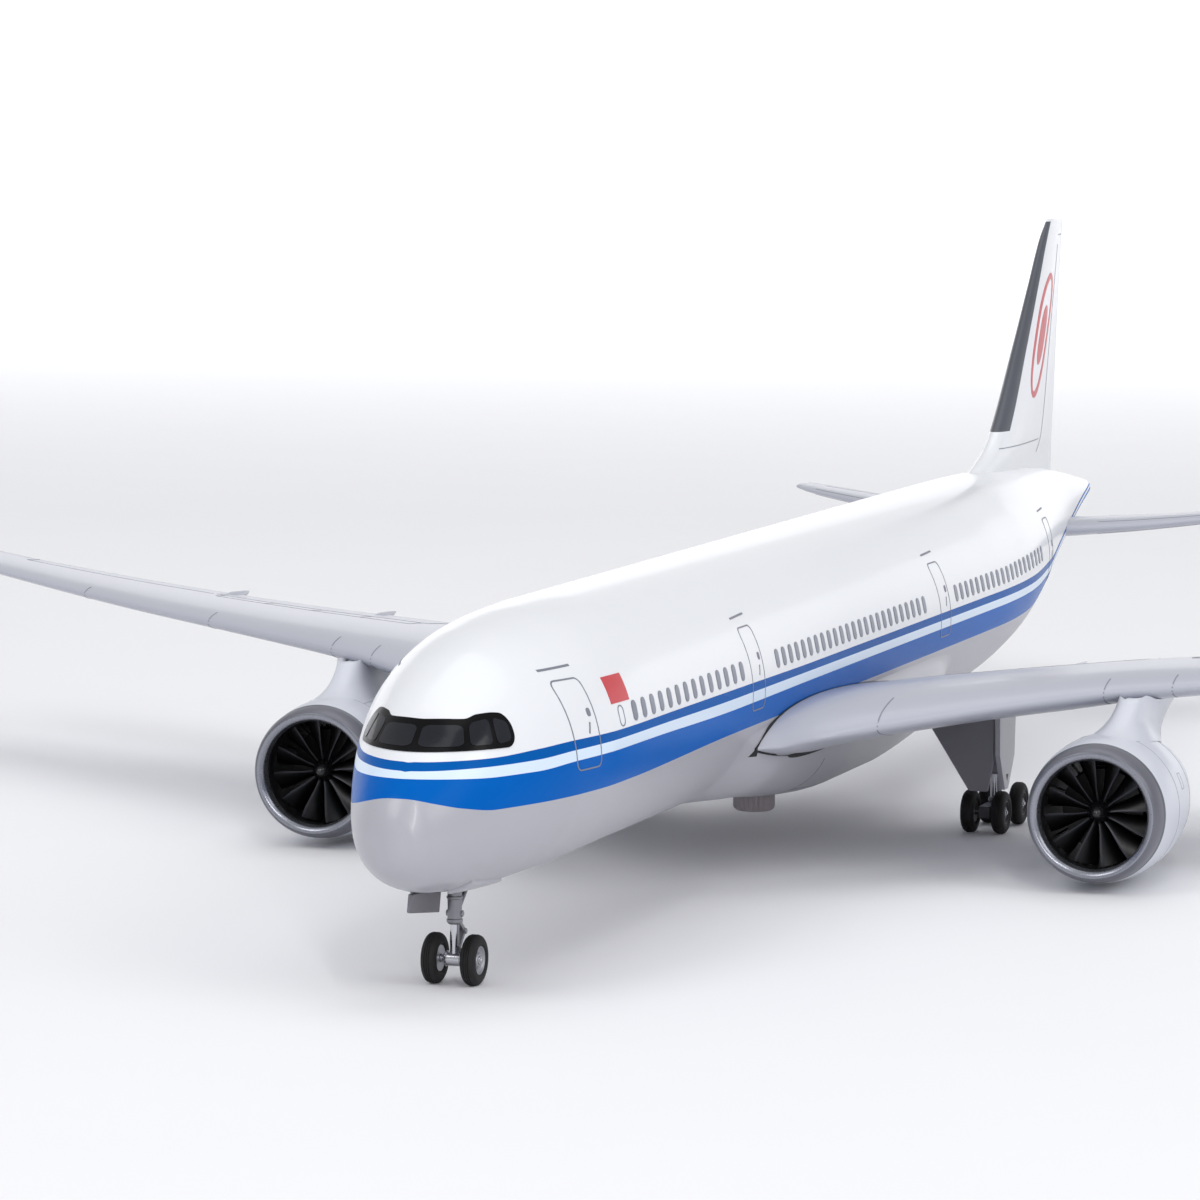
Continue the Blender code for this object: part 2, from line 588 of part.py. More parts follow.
def main_gear(label, side):
    """Builds one main gear and returns the cutter of the wing's hole for its leg."""
    x, y = side * MAIN_GEAR_X, MAIN_GEAR_STATION
    top_y = y - 1.35
    for end, step in (("front", -1), ("rear", 1)):
        station = y + step * BOGIE_HALF_BASE
        axle(f"main_axle_{end}_{label}", x, station, MAIN_WHEEL_X + 0.15)
        for place_name, out in (("outer", side), ("inner", -side)):
            wheel(f"main_wheel_{end}_{place_name}_{label}", x + out * MAIN_WHEEL_X, station, out)
    half = 0.15
    reach = BOGIE_HALF_BASE + 0.20
    low, high = (x - half, y - reach, AXLE_Z - 0.16), (x + half, y + reach, AXLE_Z + 0.16)
    beam = box(f"bogie_beam_{label}", low, high, STRUT_FINISH)
    for step in (-1, 1):
        combine(beam, "DIFFERENCE", axle_hole(x, y + step * BOGIE_HALF_BASE))
    combine(beam, "DIFFERENCE", rod("cut_pivot", (x, y, AXLE_Z - 0.06), (x, y, AXLE_Z + 0.5), 0.09 + PRESSED))
    under = wing_height(MAIN_GEAR_X, top_y, False)
    knee = AXLE_Z + 0.16 + GAP
    leg = rod(f"main_gear_leg_{label}", (x, y, knee), (x, y, -3.20), 0.17, 14, STRUT_FINISH)
    combine(leg, "UNION",
            rod("add_pin", (x, y, AXLE_Z - 0.04), (x, y, knee + 0.2), 0.09, 14),
            rod("add_upper", (x, y, -3.45), (x, top_y, under - 0.19), 0.21, 14),
            rod("add_peg", (x, top_y, under - 0.30), (x, top_y, under + 0.30), 0.16, 14),
            rod("add_stay", (x, y - 0.05, -3.55), (x, y + 0.0, -3.05), 0.21, 14))
    hole = rod("cut_peg", (x, top_y, under - 0.6), (x, top_y, under + 0.30 + GAP), 0.16 + PRESSED, 14)
    door_x = x + side * 0.62
    roof = [(station, wing_height(door_x * side, station, False) - 2 * GAP) for station in (31.1, 32.9)]
    door = roof + [(32.75, -3.10), (32.1, -3.95), (31.75, -3.95), (31.15, -2.95)]
    made = plate(f"main_gear_door_{label}", door, PLATE_THICK, "X", door_x, DOOR_FINISH)
    opening = rod("cut_opening", (door_x - 0.5, 31.98, -3.62), (door_x + 0.5, 31.98, -3.62), 0.14, 3)
    combine(made, "DIFFERENCE", opening)
    inner, outer = x - side * 1.62, x + side * 0.50
    roof = [(edge, wing_height(edge * side, 31.2, False) - 2 * GAP) for edge in (inner, outer)]
    sheet = roof + [(outer, -3.10), (x + side * 0.34, -3.95), (x - side * 0.18, -3.95)]
    plate(f"main_gear_plate_{label}", sheet, PLATE_THICK, "Y", 31.25, DOOR_FINISH)
    return hole


# ---------------------------------------------------------------- stand socket and its plug
SOCKET_R, SHANK_R, KNOB_R = 0.39, 0.24, 0.56


def ribbed_ring(z, radius, ribs=24, depth=0.03):
    ring = []
    for k in range(2 * ribs):
        angle = math.pi * k / ribs
        r = radius - (depth if k % 2 else 0)
        ring.append(place(r * math.cos(angle), PLUG_STATION + r * math.sin(angle), z))
    return ring


def plug(name, finish):
    top = -3.80 - GAP
    rings = [ribbed_ring(-3.02, SHANK_R, depth=0), ribbed_ring(top, SHANK_R, depth=0)]
    for below, inset in ((0, 0.04), (0.05, 0), (0.38, 0), (0.50, 0.08)):
        rings.append(ribbed_ring(top - below, KNOB_R - inset))
    return object_from(name, loft(rings), finish)


# ---------------------------------------------------------------- assembly
def clear_scene():
    for found in list(bpy.data.objects):
        bpy.data.objects.remove(found, do_unlink=True)


def build():
    clear_scene()
    paint = ("white paint", WHITE, 0.22)
    grey = ("light grey paint", LIGHT_GREY, 0.26)
    silver = ("silver paint", SILVER, 0.30, 0.9)
    halves = [half_shell("fuselage_left_half", 1, paint), half_shell("fuselage_right_half", -1, paint)]
    glazing_band("cockpit_glazing", 0, 0, GLAZING_DEPTH, ("cockpit black", BLACK, 0.15))
    pocket = glazing_band("cut_glazing", GAP * 0.7, 0.3, GLAZING_DEPTH + GAP)
    fairing = belly_fairing("belly_fairing", grey)
    wings = [wing("wing_left", 1, grey), wing("wing_right", -1, grey)]

    # the steel strip through the belly that carries both wings
    reach, half_y, half_z = 5.2, 0.60, 0.10
    low, high = (-reach, JOINER_Y - half_y, JOINER_Z - half_z), (reach, JOINER_Y + half_y, JOINER_Z + half_z)
    box("wing_joiner", low, high, STEEL_FINISH)
    slot_low = tuple(v - e for v, e in zip(low, (GAP, PRESSED, PRESSED)))
    slot_high = tuple(v + e for v, e in zip(high, (GAP, PRESSED, PRESSED)))
    slot = box("cut_joiner", slot_low, slot_high)
    for made in halves + wings + [fairing]:
        combine(made, "DIFFERENCE", slot)

    # ballast in the nose, in a chamber bored out of both halves
    ballast = (0, 6.1, 0.10), (0, 8.7, 0.10)
    rod("nose_weight", *ballast, 1.05, 16, ("lead grey", (0.20, 0.20, 0.21), 0.6, 0.6))
    chamber = rod("cut_weight", (0, 6.1 - GAP, 0.10), (0, 8.7 + GAP, 0.10), 1.05 + GAP, 16)
    y = NOSE_GEAR_STATION
    leg_hole = rod("cut_nose_leg", (0, y, -3.6), (0, y, NOSE_LEG_TOP + GAP), NOSE_LEG_R + PRESSED, 12)
    socket_hole = rod("cut_socket", (0, PLUG_STATION, -5), (0, PLUG_STATION, -2.35), SOCKET_R + PRESSED, 20)
    for made in halves:
        combine(made, "DIFFERENCE", pocket, chamber, leg_hole, socket_hole)
    combine(fairing, "DIFFERENCE", socket_hole)

    # fin and tailplanes, each with a tongue in a slot of the fuselage
    tail = fin("fin", paint)
    tongue_low, tongue_high = (-0.11, 54.6, 1.95), (0.11, 58.6, 3.2)
    combine(tail, "UNION", box("add_fin_tongue", tongue_low, tongue_high))
    slot = box("cut_fin", tuple(v - PRESSED for v in tongue_low), (0.11 + PRESSED, 58.6 + PRESSED, 3.4))
    for made in halves:
        combine(made, "DIFFERENCE", slot)
    for made, side in ((tailplane("tailplane_left", 1, grey), 1), (tailplane("tailplane_right", -1, grey), -1)):
        inner, outer = side * 0.75, side * 2.3
        low = (min(inner, outer), 58.2, 0.70)
        high = (max(inner, outer), 60.0, 0.86)
        combine(made, "UNION", box(f"add_{made.name}_tongue", low, high))
        cut_low = (low[0] - (GAP if side > 0 else 0), low[1] - PRESSED, low[2] - PRESSED)
        cut_high = (high[0] + (GAP if side < 0 else 0), high[1] + PRESSED, high[2] + PRESSED)
        combine(halves[0 if side > 0 else 1], "DIFFERENCE", box(f"cut_{made.name}", cut_low, cut_high))

    # stand socket, closed by a ribbed plug
    socket = rod("stand_socket", (0, PLUG_STATION, -3.80), (0, PLUG_STATION, -2.40), SOCKET_R, 20,
                 ("socket grey", (0.30, 0.30, 0.32), 0.5))
    bore = rod("cut_bore", (0, PLUG_STATION, -4.2), (0, PLUG_STATION, -2.72), SHANK_R + RUNNING, 20)
    combine(socket, "DIFFERENCE", bore)
    plug("stand_plug", ("knob grey", (0.30, 0.29, 0.30), 0.6))

    # engines
    for label, side in (("left", 1), ("right", -1)):
        front = place(side * ENGINE_X, ENGINE_FRONT, ENGINE_Z)
        cowl = turned(f"nacelle_{label}", nacelle_profile(), front, "Y", 24, grey)
        turned(f"inlet_lip_{label}", lip_profile(), front, "Y", 24, silver)
        turned(f"engine_core_{label}", core_profile(), front, "Y", 20, CORE_FINISH)
        centre = place(side * ENGINE_X, ENGINE_FRONT + FAN_SETBACK, ENGINE_Z)
        fan(f"fan_{label}", centre, ("fan black", BLACK, 0.3))
        mast = pylon(f"pylon_{label}", side, grey)
        x = side * ENGINE_X
        upper_y, upper_r, upper_z = 28.4, 0.15, wing_height(ENGINE_X, 28.4, False) + 0.42
        lower_y, lower_r, lower_z = 26.2, 0.13, ENGINE_Z + smooth(COWL_OUTSIDE, 26.2 - ENGINE_FRONT) - 0.20
        combine(mast, "UNION",
                rod(f"add_peg_up_{label}", (x, upper_y, upper_z - 0.72), (x, upper_y, upper_z), upper_r),
                rod(f"add_peg_down_{label}", (x, lower_y, lower_z + 0.66), (x, lower_y, lower_z), lower_r))
        hole = rod(f"cut_peg_up_{label}", (x, upper_y, upper_z - 0.92), (x, upper_y, upper_z + GAP),
                   upper_r + PRESSED)
        combine(wings[0 if side > 0 else 1], "DIFFERENCE", hole)
        hole = rod(f"cut_peg_down_{label}", (x, lower_y, lower_z + 0.66), (x, lower_y, lower_z - GAP),
                   lower_r + PRESSED)
        combine(cowl, "DIFFERENCE", hole)

    # landing gear
    nose_gear()
    for label, side in (("left", 1), ("right", -1)):
        combine(wings[0 if side > 0 else 1], "DIFFERENCE", main_gear(label, side))


build()
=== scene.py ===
"""Looks of the desktop airliner model: a painted wide-body twin jet on its own wheels.

Shapes are stated in full-size metres, as an aircraft drawing gives them, and SCALE turns them into the
model. +X is the left (port) wing, -Y the nose, +Z up. The origin is on the table.
"""

import math

import bmesh
import bpy
from mathutils import Matrix, Vector


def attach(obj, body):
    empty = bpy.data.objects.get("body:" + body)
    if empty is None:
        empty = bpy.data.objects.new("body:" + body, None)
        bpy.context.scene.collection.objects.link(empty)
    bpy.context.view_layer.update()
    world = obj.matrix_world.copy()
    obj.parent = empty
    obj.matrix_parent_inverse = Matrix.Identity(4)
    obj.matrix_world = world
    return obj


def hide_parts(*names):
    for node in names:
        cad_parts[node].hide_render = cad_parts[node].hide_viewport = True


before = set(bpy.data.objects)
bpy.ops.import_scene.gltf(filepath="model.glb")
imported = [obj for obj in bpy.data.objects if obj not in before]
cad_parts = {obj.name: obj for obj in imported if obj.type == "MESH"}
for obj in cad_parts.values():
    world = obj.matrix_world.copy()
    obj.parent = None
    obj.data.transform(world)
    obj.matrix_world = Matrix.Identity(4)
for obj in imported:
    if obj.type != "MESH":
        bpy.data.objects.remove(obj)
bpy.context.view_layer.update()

# ---------------------------------------------------------------- driving dimensions
SCALE = 1 / 142
NOSE, TAIL = 1.25, 65.4
MIDDLE = (NOSE + TAIL) / 2
AXIS_HEIGHT = 5.24
MM = 0.001 / SCALE
GAP = 0.3 * MM
LIFT = 0.05 * MM  # how far printed lines and windows stand proud
ENGINE_X, ENGINE_Z, ENGINE_FRONT = 10.5, -3.23, 22.85
FAN_SETBACK, FAN_BLADES = 0.42, 12
WHEEL_R, TYRE_WIDTH, HUB_R, AXLE_R = 0.58, 0.36, 0.33, 0.085
NOSE_GEAR_STATION, NOSE_WHEEL_X = 5.22, 0.47
MAIN_GEAR_STATION, MAIN_GEAR_X = 33.35, 5.325
BOGIE_HALF_BASE, MAIN_WHEEL_X = 0.96, 0.425
AXLE_Z = WHEEL_R - AXIS_HEIGHT
WING_ROOT_X, WING_TIP_X, KINK_X = 3.1, 32.3, 27.5  # the wing starts to curl up at the kink
PLUG_STATION, KNOB_R = 28.3, 0.56
SIDES = (("left", 1), ("right", -1))
INSET_SHARES = (1.0, 0.8, 0.6, 0.4, 0.2)  # rings of a wide patch, as shares of its outline

# (station, value) tables of the fuselage
TIP_LENGTH = 0.05  # the rounded end of the nose ahead of the first station of the tables
HALF_WIDTH = [(1.25, 0.24), (1.35, 0.50), (1.6, 0.84), (2.1, 1.22), (3.0, 1.65), (4.0, 2.03), (5.1, 2.39),
              (6.4, 2.70), (8.2, 2.93), (10.2, 2.98), (43, 2.98), (47, 2.85), (51, 2.42), (55, 1.78),
              (59, 1.14), (62.6, 0.60), (TAIL, 0.24)]
TOP = [(1.25, -1.14), (1.35, -0.88), (1.6, -0.44), (2.1, 0.08), (2.7, 0.62), (3.4, 1.28), (4.2, 1.84),
       (5.4, 2.36), (7.0, 2.74), (9.2, 2.98), (11.5, 3.045), (49, 3.045), (54, 2.94), (58, 2.70), (62, 2.24),
       (TAIL, 1.76)]
BOTTOM = [(1.25, -1.92), (1.35, -2.14), (1.6, -2.38), (2.1, -2.62), (3.0, -2.82), (4.2, -2.94),
          (6.2, -3.02), (9, -3.045), (40, -3.045), (44, -2.88), (48, -2.38), (52, -1.60), (56, -0.74),
          (60, 0.12), (TAIL, 1.26)]
WIDEST = [(1.25, -1.52), (2.4, -1.35), (4.2, -0.90), (7, -0.25), (10, 0), (44, 0), (55, 0.80), (TAIL, 1.50)]
# heights of the painted stripes' edges along the fuselage, from the upper one down
STRIPE_EDGES = [
    [(2.2, 0.20), (3.4, 0.21), (4.8, 0.28), (6.3, 0.34), (9.2, 0.34), (17, 0.30), (24, 0.26), (45, 0.26),
     (52, 0.45), (58, 0.95), (TAIL, 1.66)],
    [(2.0, 0.02), (4.7, 0.05), (6.2, 0.12), (9.2, 0.14), (17, 0.07), (45, 0.05), (52, 0.24), (58, 0.80),
     (TAIL, 1.60)],
    [(1.85, -0.13), (3.4, -0.20), (4.6, -0.20), (6.2, -0.12), (9.2, -0.10), (17, -0.20), (24, -0.18),
     (45, -0.17), (52, 0.03), (58, 0.62), (TAIL, 1.54)],
    [(1.5, -0.50), (1.8, -0.64), (2.3, -0.78), (3.2, -0.90), (9.6, -0.91), (17, -0.82), (45, -0.78),
     (52, -0.55), (58, 0.20), (TAIL, 1.36)],
]
BANDS = (18, 3, 2, 6, 16)  # panels in each painted band, from the crown down
GLAZING_PIVOT, GLAZING_SWEEP = 5.2, 61
GLAZING_ROUND = 9  # degrees over which each end of the glazing is rounded off
GLAZING_LOW = [(0, 0.40), (30, 0.40), (45, 0.40), (54, 0.40), (61, 0.44)]
GLAZING_HIGH = [(0, 1.05), (12, 1.06), (26, 1.05), (35, 1.13), (46, 1.15), (54, 1.13), (61, 1.05)]
PANE_SPANS = ((1.6, 25.0), (28.5, 43.0), (46.0, 57.5))  # degrees from straight ahead
MASK_RISE = 0.16 * MM
# first station, number of windows, pitch
WINDOW_RUNS = [(9.31, 14, 0.640), (20.63, 25, 0.584), (38.08, 20, 0.590)]
WINDOW_HEIGHT, WINDOW_RISE = 0.66, 0.47
# station of the front edge, width, height of the sill, height of the head
DOORS = [(6.05, 1.10, -0.36, 1.63), (18.37, 1.02, -0.42, 1.62), (36.25, 1.02, -0.42, 1.62),
         (51.1, 0.95, -0.20, 1.66)]
FAIRING_TOP, FAIRING_FRONT, FAIRING_BACK = -0.88, 18, 39
FAIRING_WIDTH = [(18, 2.75), (19.2, 2.93), (20.5, 3.06), (22, WING_ROOT_X), (35, WING_ROOT_X), (39, 2.95)]
FAIRING_BOTTOM = [(18, 3.05), (21, 3.12), (23, 3.32), (25, 3.56), (27, 3.75), (28, 3.80), (32.5, 3.80),
                  (35.5, 3.60), (39, 3.15)]
# span: leading-edge station, leading-edge height, chord, thickness, trailing-edge height
WING = [(3.1, 19.30, -1.50, 14.30, 1.60, -1.38), (3.6, 20.55, -1.42, 13.10, 1.54, -1.30),
        (4.3, 21.45, -1.32, 12.30, 1.46, -1.20), (5.6, 22.55, -1.12, 11.35, 1.30, -1.02),
        (7.8, 24.25, -0.80, 9.95, 1.08, -0.76), (10.5, 26.20, -0.50, 8.40, 0.84, -0.48),
        (15.0, 29.20, -0.28, 6.95, 0.64, -0.36), (20.0, 32.55, -0.08, 5.45, 0.50, -0.15),
        (25.0, 35.90, 0.22, 3.95, 0.37, 0.17), (28.0, 37.95, 0.46, 3.05, 0.30, 0.43),
        (29.6, 39.20, 0.70, 2.62, 0.27, 0.67), (30.9, 40.45, 1.15, 2.15, 0.24, 1.12),
        (31.8, 41.70, 1.80, 1.62, 0.20, 1.78), (32.3, 42.80, 2.55, 1.05, 0.17, 2.54)]
# height: leading edge, trailing edge, half thickness
FIN = [(2.9, 50.2, 60.7, 0.34), (3.62, 52.7, 60.75, 0.42), (4.3, 53.7, 60.85, 0.40), (6.5, 55.9, 61.15, 0.31),
       (8.5, 57.8, 61.45, 0.23), (9.9, 59.1, 61.7, 0.17), (10.45, 59.8, 61.8, 0.11)]
EDGE_SHARE = 0.085  # how much of the fin's chord its grey leading edge takes
# span: leading edge, trailing edge, height, half thickness
TAILPLANE = [(0.6, 56.96, 62.08, 0.75, 0.29), (3.0, 58.4, 62.8, 0.86, 0.24), (6.0, 60.7, 63.9, 1.08, 0.17),
             (8.7, 62.7, 64.85, 1.30, 0.11), (9.3, 63.4, 64.95, 1.36, 0.08)]
LIP_LENGTH, DUCT_R, COWL_END = 0.46, 1.44, 5.6
COWL_OUTSIDE = [(LIP_LENGTH, 1.755), (1.2, 1.85), (2.1, 1.87), (3.3, 1.77), (4.6, 1.52), (COWL_END, 1.28)]
# radius, stagger in degrees, chord, thickness
BLADE = [(0.26, 22, 0.36, 0.075), (0.46, 26, 0.40, 0.070), (0.80, 38, 0.50, 0.058), (1.12, 50, 0.58, 0.046),
         (1.37, 58, 0.60, 0.036)]


# ---------------------------------------------------------------- curves and places
def place(x, station, height):
    """A full-size point (its station, and its height from the fuselage centreline) on the model."""
    return Vector((x, station - MIDDLE, height + AXIS_HEIGHT)) * SCALE


def smooth(table, at, column=1):
    """A smooth curve through the rows of a table, read at one place."""
    if at <= table[0][0]:
        return table[0][column]
    if at >= table[-1][0]:
        return table[-1][column]
    last = len(table) - 1
    i = max(k for k in range(last) if table[k][0] <= at)

    def rate(k):
        return (table[k + 1][column] - table[k][column]) / (table[k + 1][0] - table[k][0])

    def slope(k):
        if k in (0, last):
            return rate(min(k, last - 1))
        left, right = rate(k - 1), rate(k)
        return 0.0 if left * right <= 0 else 2 * left * right / (left + right)

    span = table[i + 1][0] - table[i][0]
    t = (at - table[i][0]) / span
    h00, h10 = 2 * t**3 - 3 * t**2 + 1, t**3 - 2 * t**2 + t
    return (h00 * table[i][column] + h10 * span * slope(i) + (1 - h00) * table[i + 1][column]
            + (t**3 - t**2) * span * slope(i + 1))


def values(table, at, *columns):
    """Several columns of a table, read at one place."""
    return [smooth(table, at, column) for column in columns]


def spaced(start, end, count, power=1.0):
    """Places from start up to, not including, end; a power over 1 crowds them near the start."""
    return [start + (end - start) * (k / count) ** power for k in range(count)]


def crowded_ends(count):
    """Shares from 0 to 1, closer together near both ends."""
    return [(1 - math.cos(math.pi * k / count)) / 2 for k in range(count + 1)]


def circle(count):
    """Angles all the way round, in radians."""
    return [2 * math.pi * k / count for k in range(count)]


def smoothstep(t):
    """0 to 1 with level ends."""
    return t * t * (3 - 2 * t)


def rounded_path(points, steps=6):
    """A flowing line through every point of an open profile."""
    made = []
    for i in range(len(points) - 1):
        p0, p1 = Vector(points[max(i - 1, 0)]), Vector(points[i])
        p2, p3 = Vector(points[i + 1]), Vector(points[min(i + 2, len(points) - 1)])
        for k in range(steps):
            t = k / steps
            made.append(0.5 * (2 * p1 + (p2 - p0) * t + (2 * p0 - 5 * p1 + 4 * p2 - p3) * t * t
                               + (3 * p1 - p0 - 3 * p2 + p3) * t**3))
    return [tuple(p) for p in made] + [tuple(points[-1])]


def rounded_box(u, v, width, height, radius, steps=5):
    """A loop of (u, v) round a rectangle with rounded corners."""
    loop = []
    for corner, (a, b) in enumerate(((1, 1), (-1, 1), (-1, -1), (1, -1))):
        for k in range(steps + 1):
            angle = math.pi / 2 * (corner + k / steps)
            loop.append((u + a * (width / 2 - radius) + radius * math.cos(angle),
                         v + b * (height / 2 - radius) + radius * math.sin(angle)))
    return loop


# ---------------------------------------------------------------- materials
def linear(red, green, blue):
    """A colour named by its 0-255 display values, as the shader wants it."""
    return tuple(((c / 255 + 0.055) / 1.055) ** 2.4 if c > 10 else c / 255 / 12.92
                 for c in (red, green, blue))


def set_inputs(node, **settings):
    """Sets a node's own sockets; an underscore stands for a space in a socket's name."""
    for name, value in settings.items():
        node.inputs[name.replace("_", " ")].default_value = value
    return node


def finish(name, colour, roughness, metallic=0.0, spread=0.05, patch_size=22, grain=1400, relief=0.02,
           coat=0.0, shine=0.5, stretch=(1, 1, 1)):
    """A paint, plastic or metal: its colour drifts softly, its gloss and surface vary at a finer scale."""
    made = bpy.data.materials.new(name)
    made.use_nodes = True
    nodes = made.node_tree.nodes
    shader = set_inputs(nodes["Principled BSDF"], Metallic=metallic, Specular_IOR_Level=shine,
                        Coat_Weight=coat, Coat_Roughness=0.06)
    where = nodes.new("ShaderNodeTexCoord")
    aimed = set_inputs(nodes.new("ShaderNodeMapping"), Scale=stretch)
    drift = set_inputs(nodes.new("ShaderNodeTexNoise"), Scale=patch_size, Detail=5)
    ramp = nodes.new("ShaderNodeValToRGB")
    base = linear(*colour)
    for stop, position, gain in zip(ramp.color_ramp.elements, (0.32, 0.68), (1 - spread, 1 + spread * 0.6)):
        stop.position = position
        stop.color = (*(min(c * gain, 1) for c in base), 1)
    fine = set_inputs(nodes.new("ShaderNodeTexNoise"), Scale=grain, Detail=3)
    gloss = set_inputs(nodes.new("ShaderNodeMapRange"), To_Min=roughness * 0.9,
                       To_Max=min(roughness * 1.1, 1))
    bump = set_inputs(nodes.new("ShaderNodeBump"), Strength=relief, Distance=0.00005)
    for source, output, target, socket in (
            (where, "Object", aimed, "Vector"), (aimed, "Vector", drift, "Vector"),
            (drift, "Fac", ramp, "Fac"), (ramp, "Color", shader, "Base Color"),
            (aimed, "Vector", fine, "Vector"), (fine, "Fac", gloss, "Value"),
            (gloss, "Result", shader, "Roughness"),
            (fine, "Fac", bump, "Height"), (bump, "Normal", shader, "Normal")):
        made.node_tree.links.new(source.outputs[output], target.inputs[socket])
    return made


WHITE = finish("white_gloss_paint", (232, 234, 238), 0.24, coat=0.2, spread=0.012)
# light grey belly paint, made darker still as painted shade for the underside
BELLY_GREY = finish("belly_grey_paint_and_shade", (172, 172, 180), 0.30, coat=0.1, spread=0.025)
COWL_GREY = finish("cowl_grey_paint", (206, 209, 218), 0.32, coat=0.12, spread=0.025)
WING_GREY = finish("wing_grey_paint", (178, 180, 191), 0.32, coat=0.15, spread=0.025)
DEEP_BLUE = finish("deep_blue_paint", (0, 94, 182), 0.26, spread=0.06, shine=0.05)
THIN_BLUE = finish("thin_stripe_blue_paint", (0, 88, 168), 0.26, spread=0.06, shine=0.05)
PALE_BLUE = finish("pale_blue_paint", (216, 232, 250), 0.24, spread=0.02, shine=0.4)
PRINT_GREY = finish("printed_line_grey", (122, 126, 137), 0.45, spread=0.10)
PANEL_LINE = finish("panel_line_grey", (136, 138, 149), 0.55, spread=0.12)
COWL_LINE = finish("cowl_line_grey", (172, 175, 185), 0.50, spread=0.10)
WINDOW = finish("window_grey_print", (118, 123, 138), 0.30, coat=0.1, spread=0.10, patch_size=90)
RED = finish("red_print", (196, 36, 48), 0.32, coat=0.1, spread=0.06)
EDGE_GREY = finish("leading_edge_grey_paint", (78, 81, 90), 0.36, coat=0.1, spread=0.08)
# the gear plates' light grey, darkened with painted shade where they hang in shadow under the belly and the
# wing
PLATE_SHADED_GREY = finish("gear_plate_painted_shade", (122, 120, 128), 0.40, spread=0.08)
MASK_BLACK = finish("cockpit_frame_black", (5, 5, 7), 0.20, spread=0.15, shine=0.14)
PANE = finish("cockpit_pane_smoke", (22, 24, 32), 0.12, spread=0.25, patch_size=120, shine=0.35)
# dark grey that stands in for shade: painted shade in the gear bays and at the wing roots
BAY_DARK = finish("bay_shadow_grey", (26, 26, 30), 0.7, spread=0.15)
SILVER = finish("satin_silver", (150, 152, 161), 0.28, 0.9, spread=0.06, grain=2400, relief=0.05)
# a darker grey for the lip's outward face and the ring behind it: a painted darker reflection of the lip
# metal
LIP_DARK_REFLECTION = finish("intake_ring_painted_reflection", (112, 113, 122), 0.34, 0.5, spread=0.08)
DUCT_DARK = finish("duct_dark_grey", (11, 11, 14), 0.45, 0.1, spread=0.15)
CORE_METAL = finish("burnt_core_metal", (112, 108, 106), 0.34, 0.85, spread=0.16, patch_size=60)
FAN_BLACK = finish("fan_black", (7, 7, 9), 0.34, spread=0.20, patch_size=120, shine=0.35)
# a lighter grey on the blades' front edges: a painted glint
BLADE_EDGE_GLINT = finish("blade_edge_painted_glint", (52, 52, 58), 0.36, 0.6, spread=0.15, patch_size=120)
SPINNER = finish("spinner_black", (12, 12, 14), 0.22, coat=0.3, spread=0.25)
STRUT = finish("strut_grey_metal", (138, 138, 145), 0.36, 0.5, spread=0.10, patch_size=160)
# the strut metal darkened with painted shade, for the bogie in the shadow under the wing
SHADED_STRUT = finish("bogie_metal_painted_shade", (62, 61, 66), 0.42, 0.4, spread=0.12, patch_size=160)
STEEL = finish("bright_steel", (196, 197, 203), 0.22, 1.0, spread=0.07, grain=900, stretch=(0.15, 1, 1))
TYRE = finish("tyre_rubber", (15, 14, 16), 0.74, spread=0.25, patch_size=200, grain=5200, relief=0.25)
HUB = finish("hub_grey_metal", (162, 163, 169), 0.32, 0.6, spread=0.10, patch_size=220)
# the hub metal darkened with painted shade, for the main wheels in the shadow under the wing
SHADED_HUB = finish("hub_metal_painted_shade", (44, 44, 48), 0.40, 0.3, spread=0.14, patch_size=220)
LEAD = finish("lead_grey", (112, 113, 118), 0.5, 0.7, spread=0.15, relief=0.2)
KNOB = finish("knob_grey_plastic", (170, 162, 166), 0.50, spread=0.10, patch_size=200, grain=3600,
              relief=0.15)
SOCKET = finish("socket_grey_plastic", (92, 92, 97), 0.48, spread=0.10, grain=3000, relief=0.15)


# ---------------------------------------------------------------- mesh helpers
def piece(name, bm, paints, slot, replaced=(), body="airframe", crease=32, bevel=0.0):
    """Puts a bmesh into the scene as a smooth-shaded piece that rides on a body."""
    bmesh.ops.remove_doubles(bm, verts=bm.verts, dist=1e-7)
    bmesh.ops.recalc_face_normals(bm, faces=bm.faces)
    mesh = bpy.data.meshes.new(name)
    bm.to_mesh(mesh)
    bm.free()
    mesh.shade_smooth()
    mesh.set_sharp_from_angle(angle=math.radians(crease))
    for paint in paints:
        mesh.materials.append(paint)
    made = bpy.data.objects.new(name, mesh)
    bpy.context.scene.collection.objects.link(made)
    if bevel:
        rounding = made.modifiers.new("rounded_edges", "BEVEL")
        rounding.width = bevel * SCALE
        rounding.segments = 3
        rounding.limit_method = "ANGLE"
        rounding.angle_limit = math.radians(28)
    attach(made, body)
    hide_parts(*replaced)


def skin(bm, rings, paint=0, closed=True, ends=(True, True), wrap=False):
    """Faces between rings of points. paint is one index, or a function of (row, column)."""
    rows = [[bm.verts.new(p) for p in ring] for ring in rings]
    count = len(rows[0])
    pairs = list(zip(rows, rows[1:] + rows[:1] if wrap else rows[1:]))
    for r, (a, b) in enumerate(pairs):
        for i in range(count if closed else count - 1):
            j = (i + 1) % count
            face = bm.faces.new((a[i], a[j], b[j], b[i]))
            face.material_index = paint(r, i) if callable(paint) else paint
    for wanted, row in zip(ends, (rows[0], rows[-1])):
        if wanted and closed and not wrap:
            face = bm.faces.new(row)
            face.material_index = 0 if callable(paint) else paint


def shell(name, rings, paints, slot, replaced=(), body="airframe", paint=0, **looks):
    """A piece that is one skin over rings of points."""
    bm = bmesh.new()
    skin(bm, rings, paint)
    piece(name, bm, paints, slot, replaced, body, **looks)


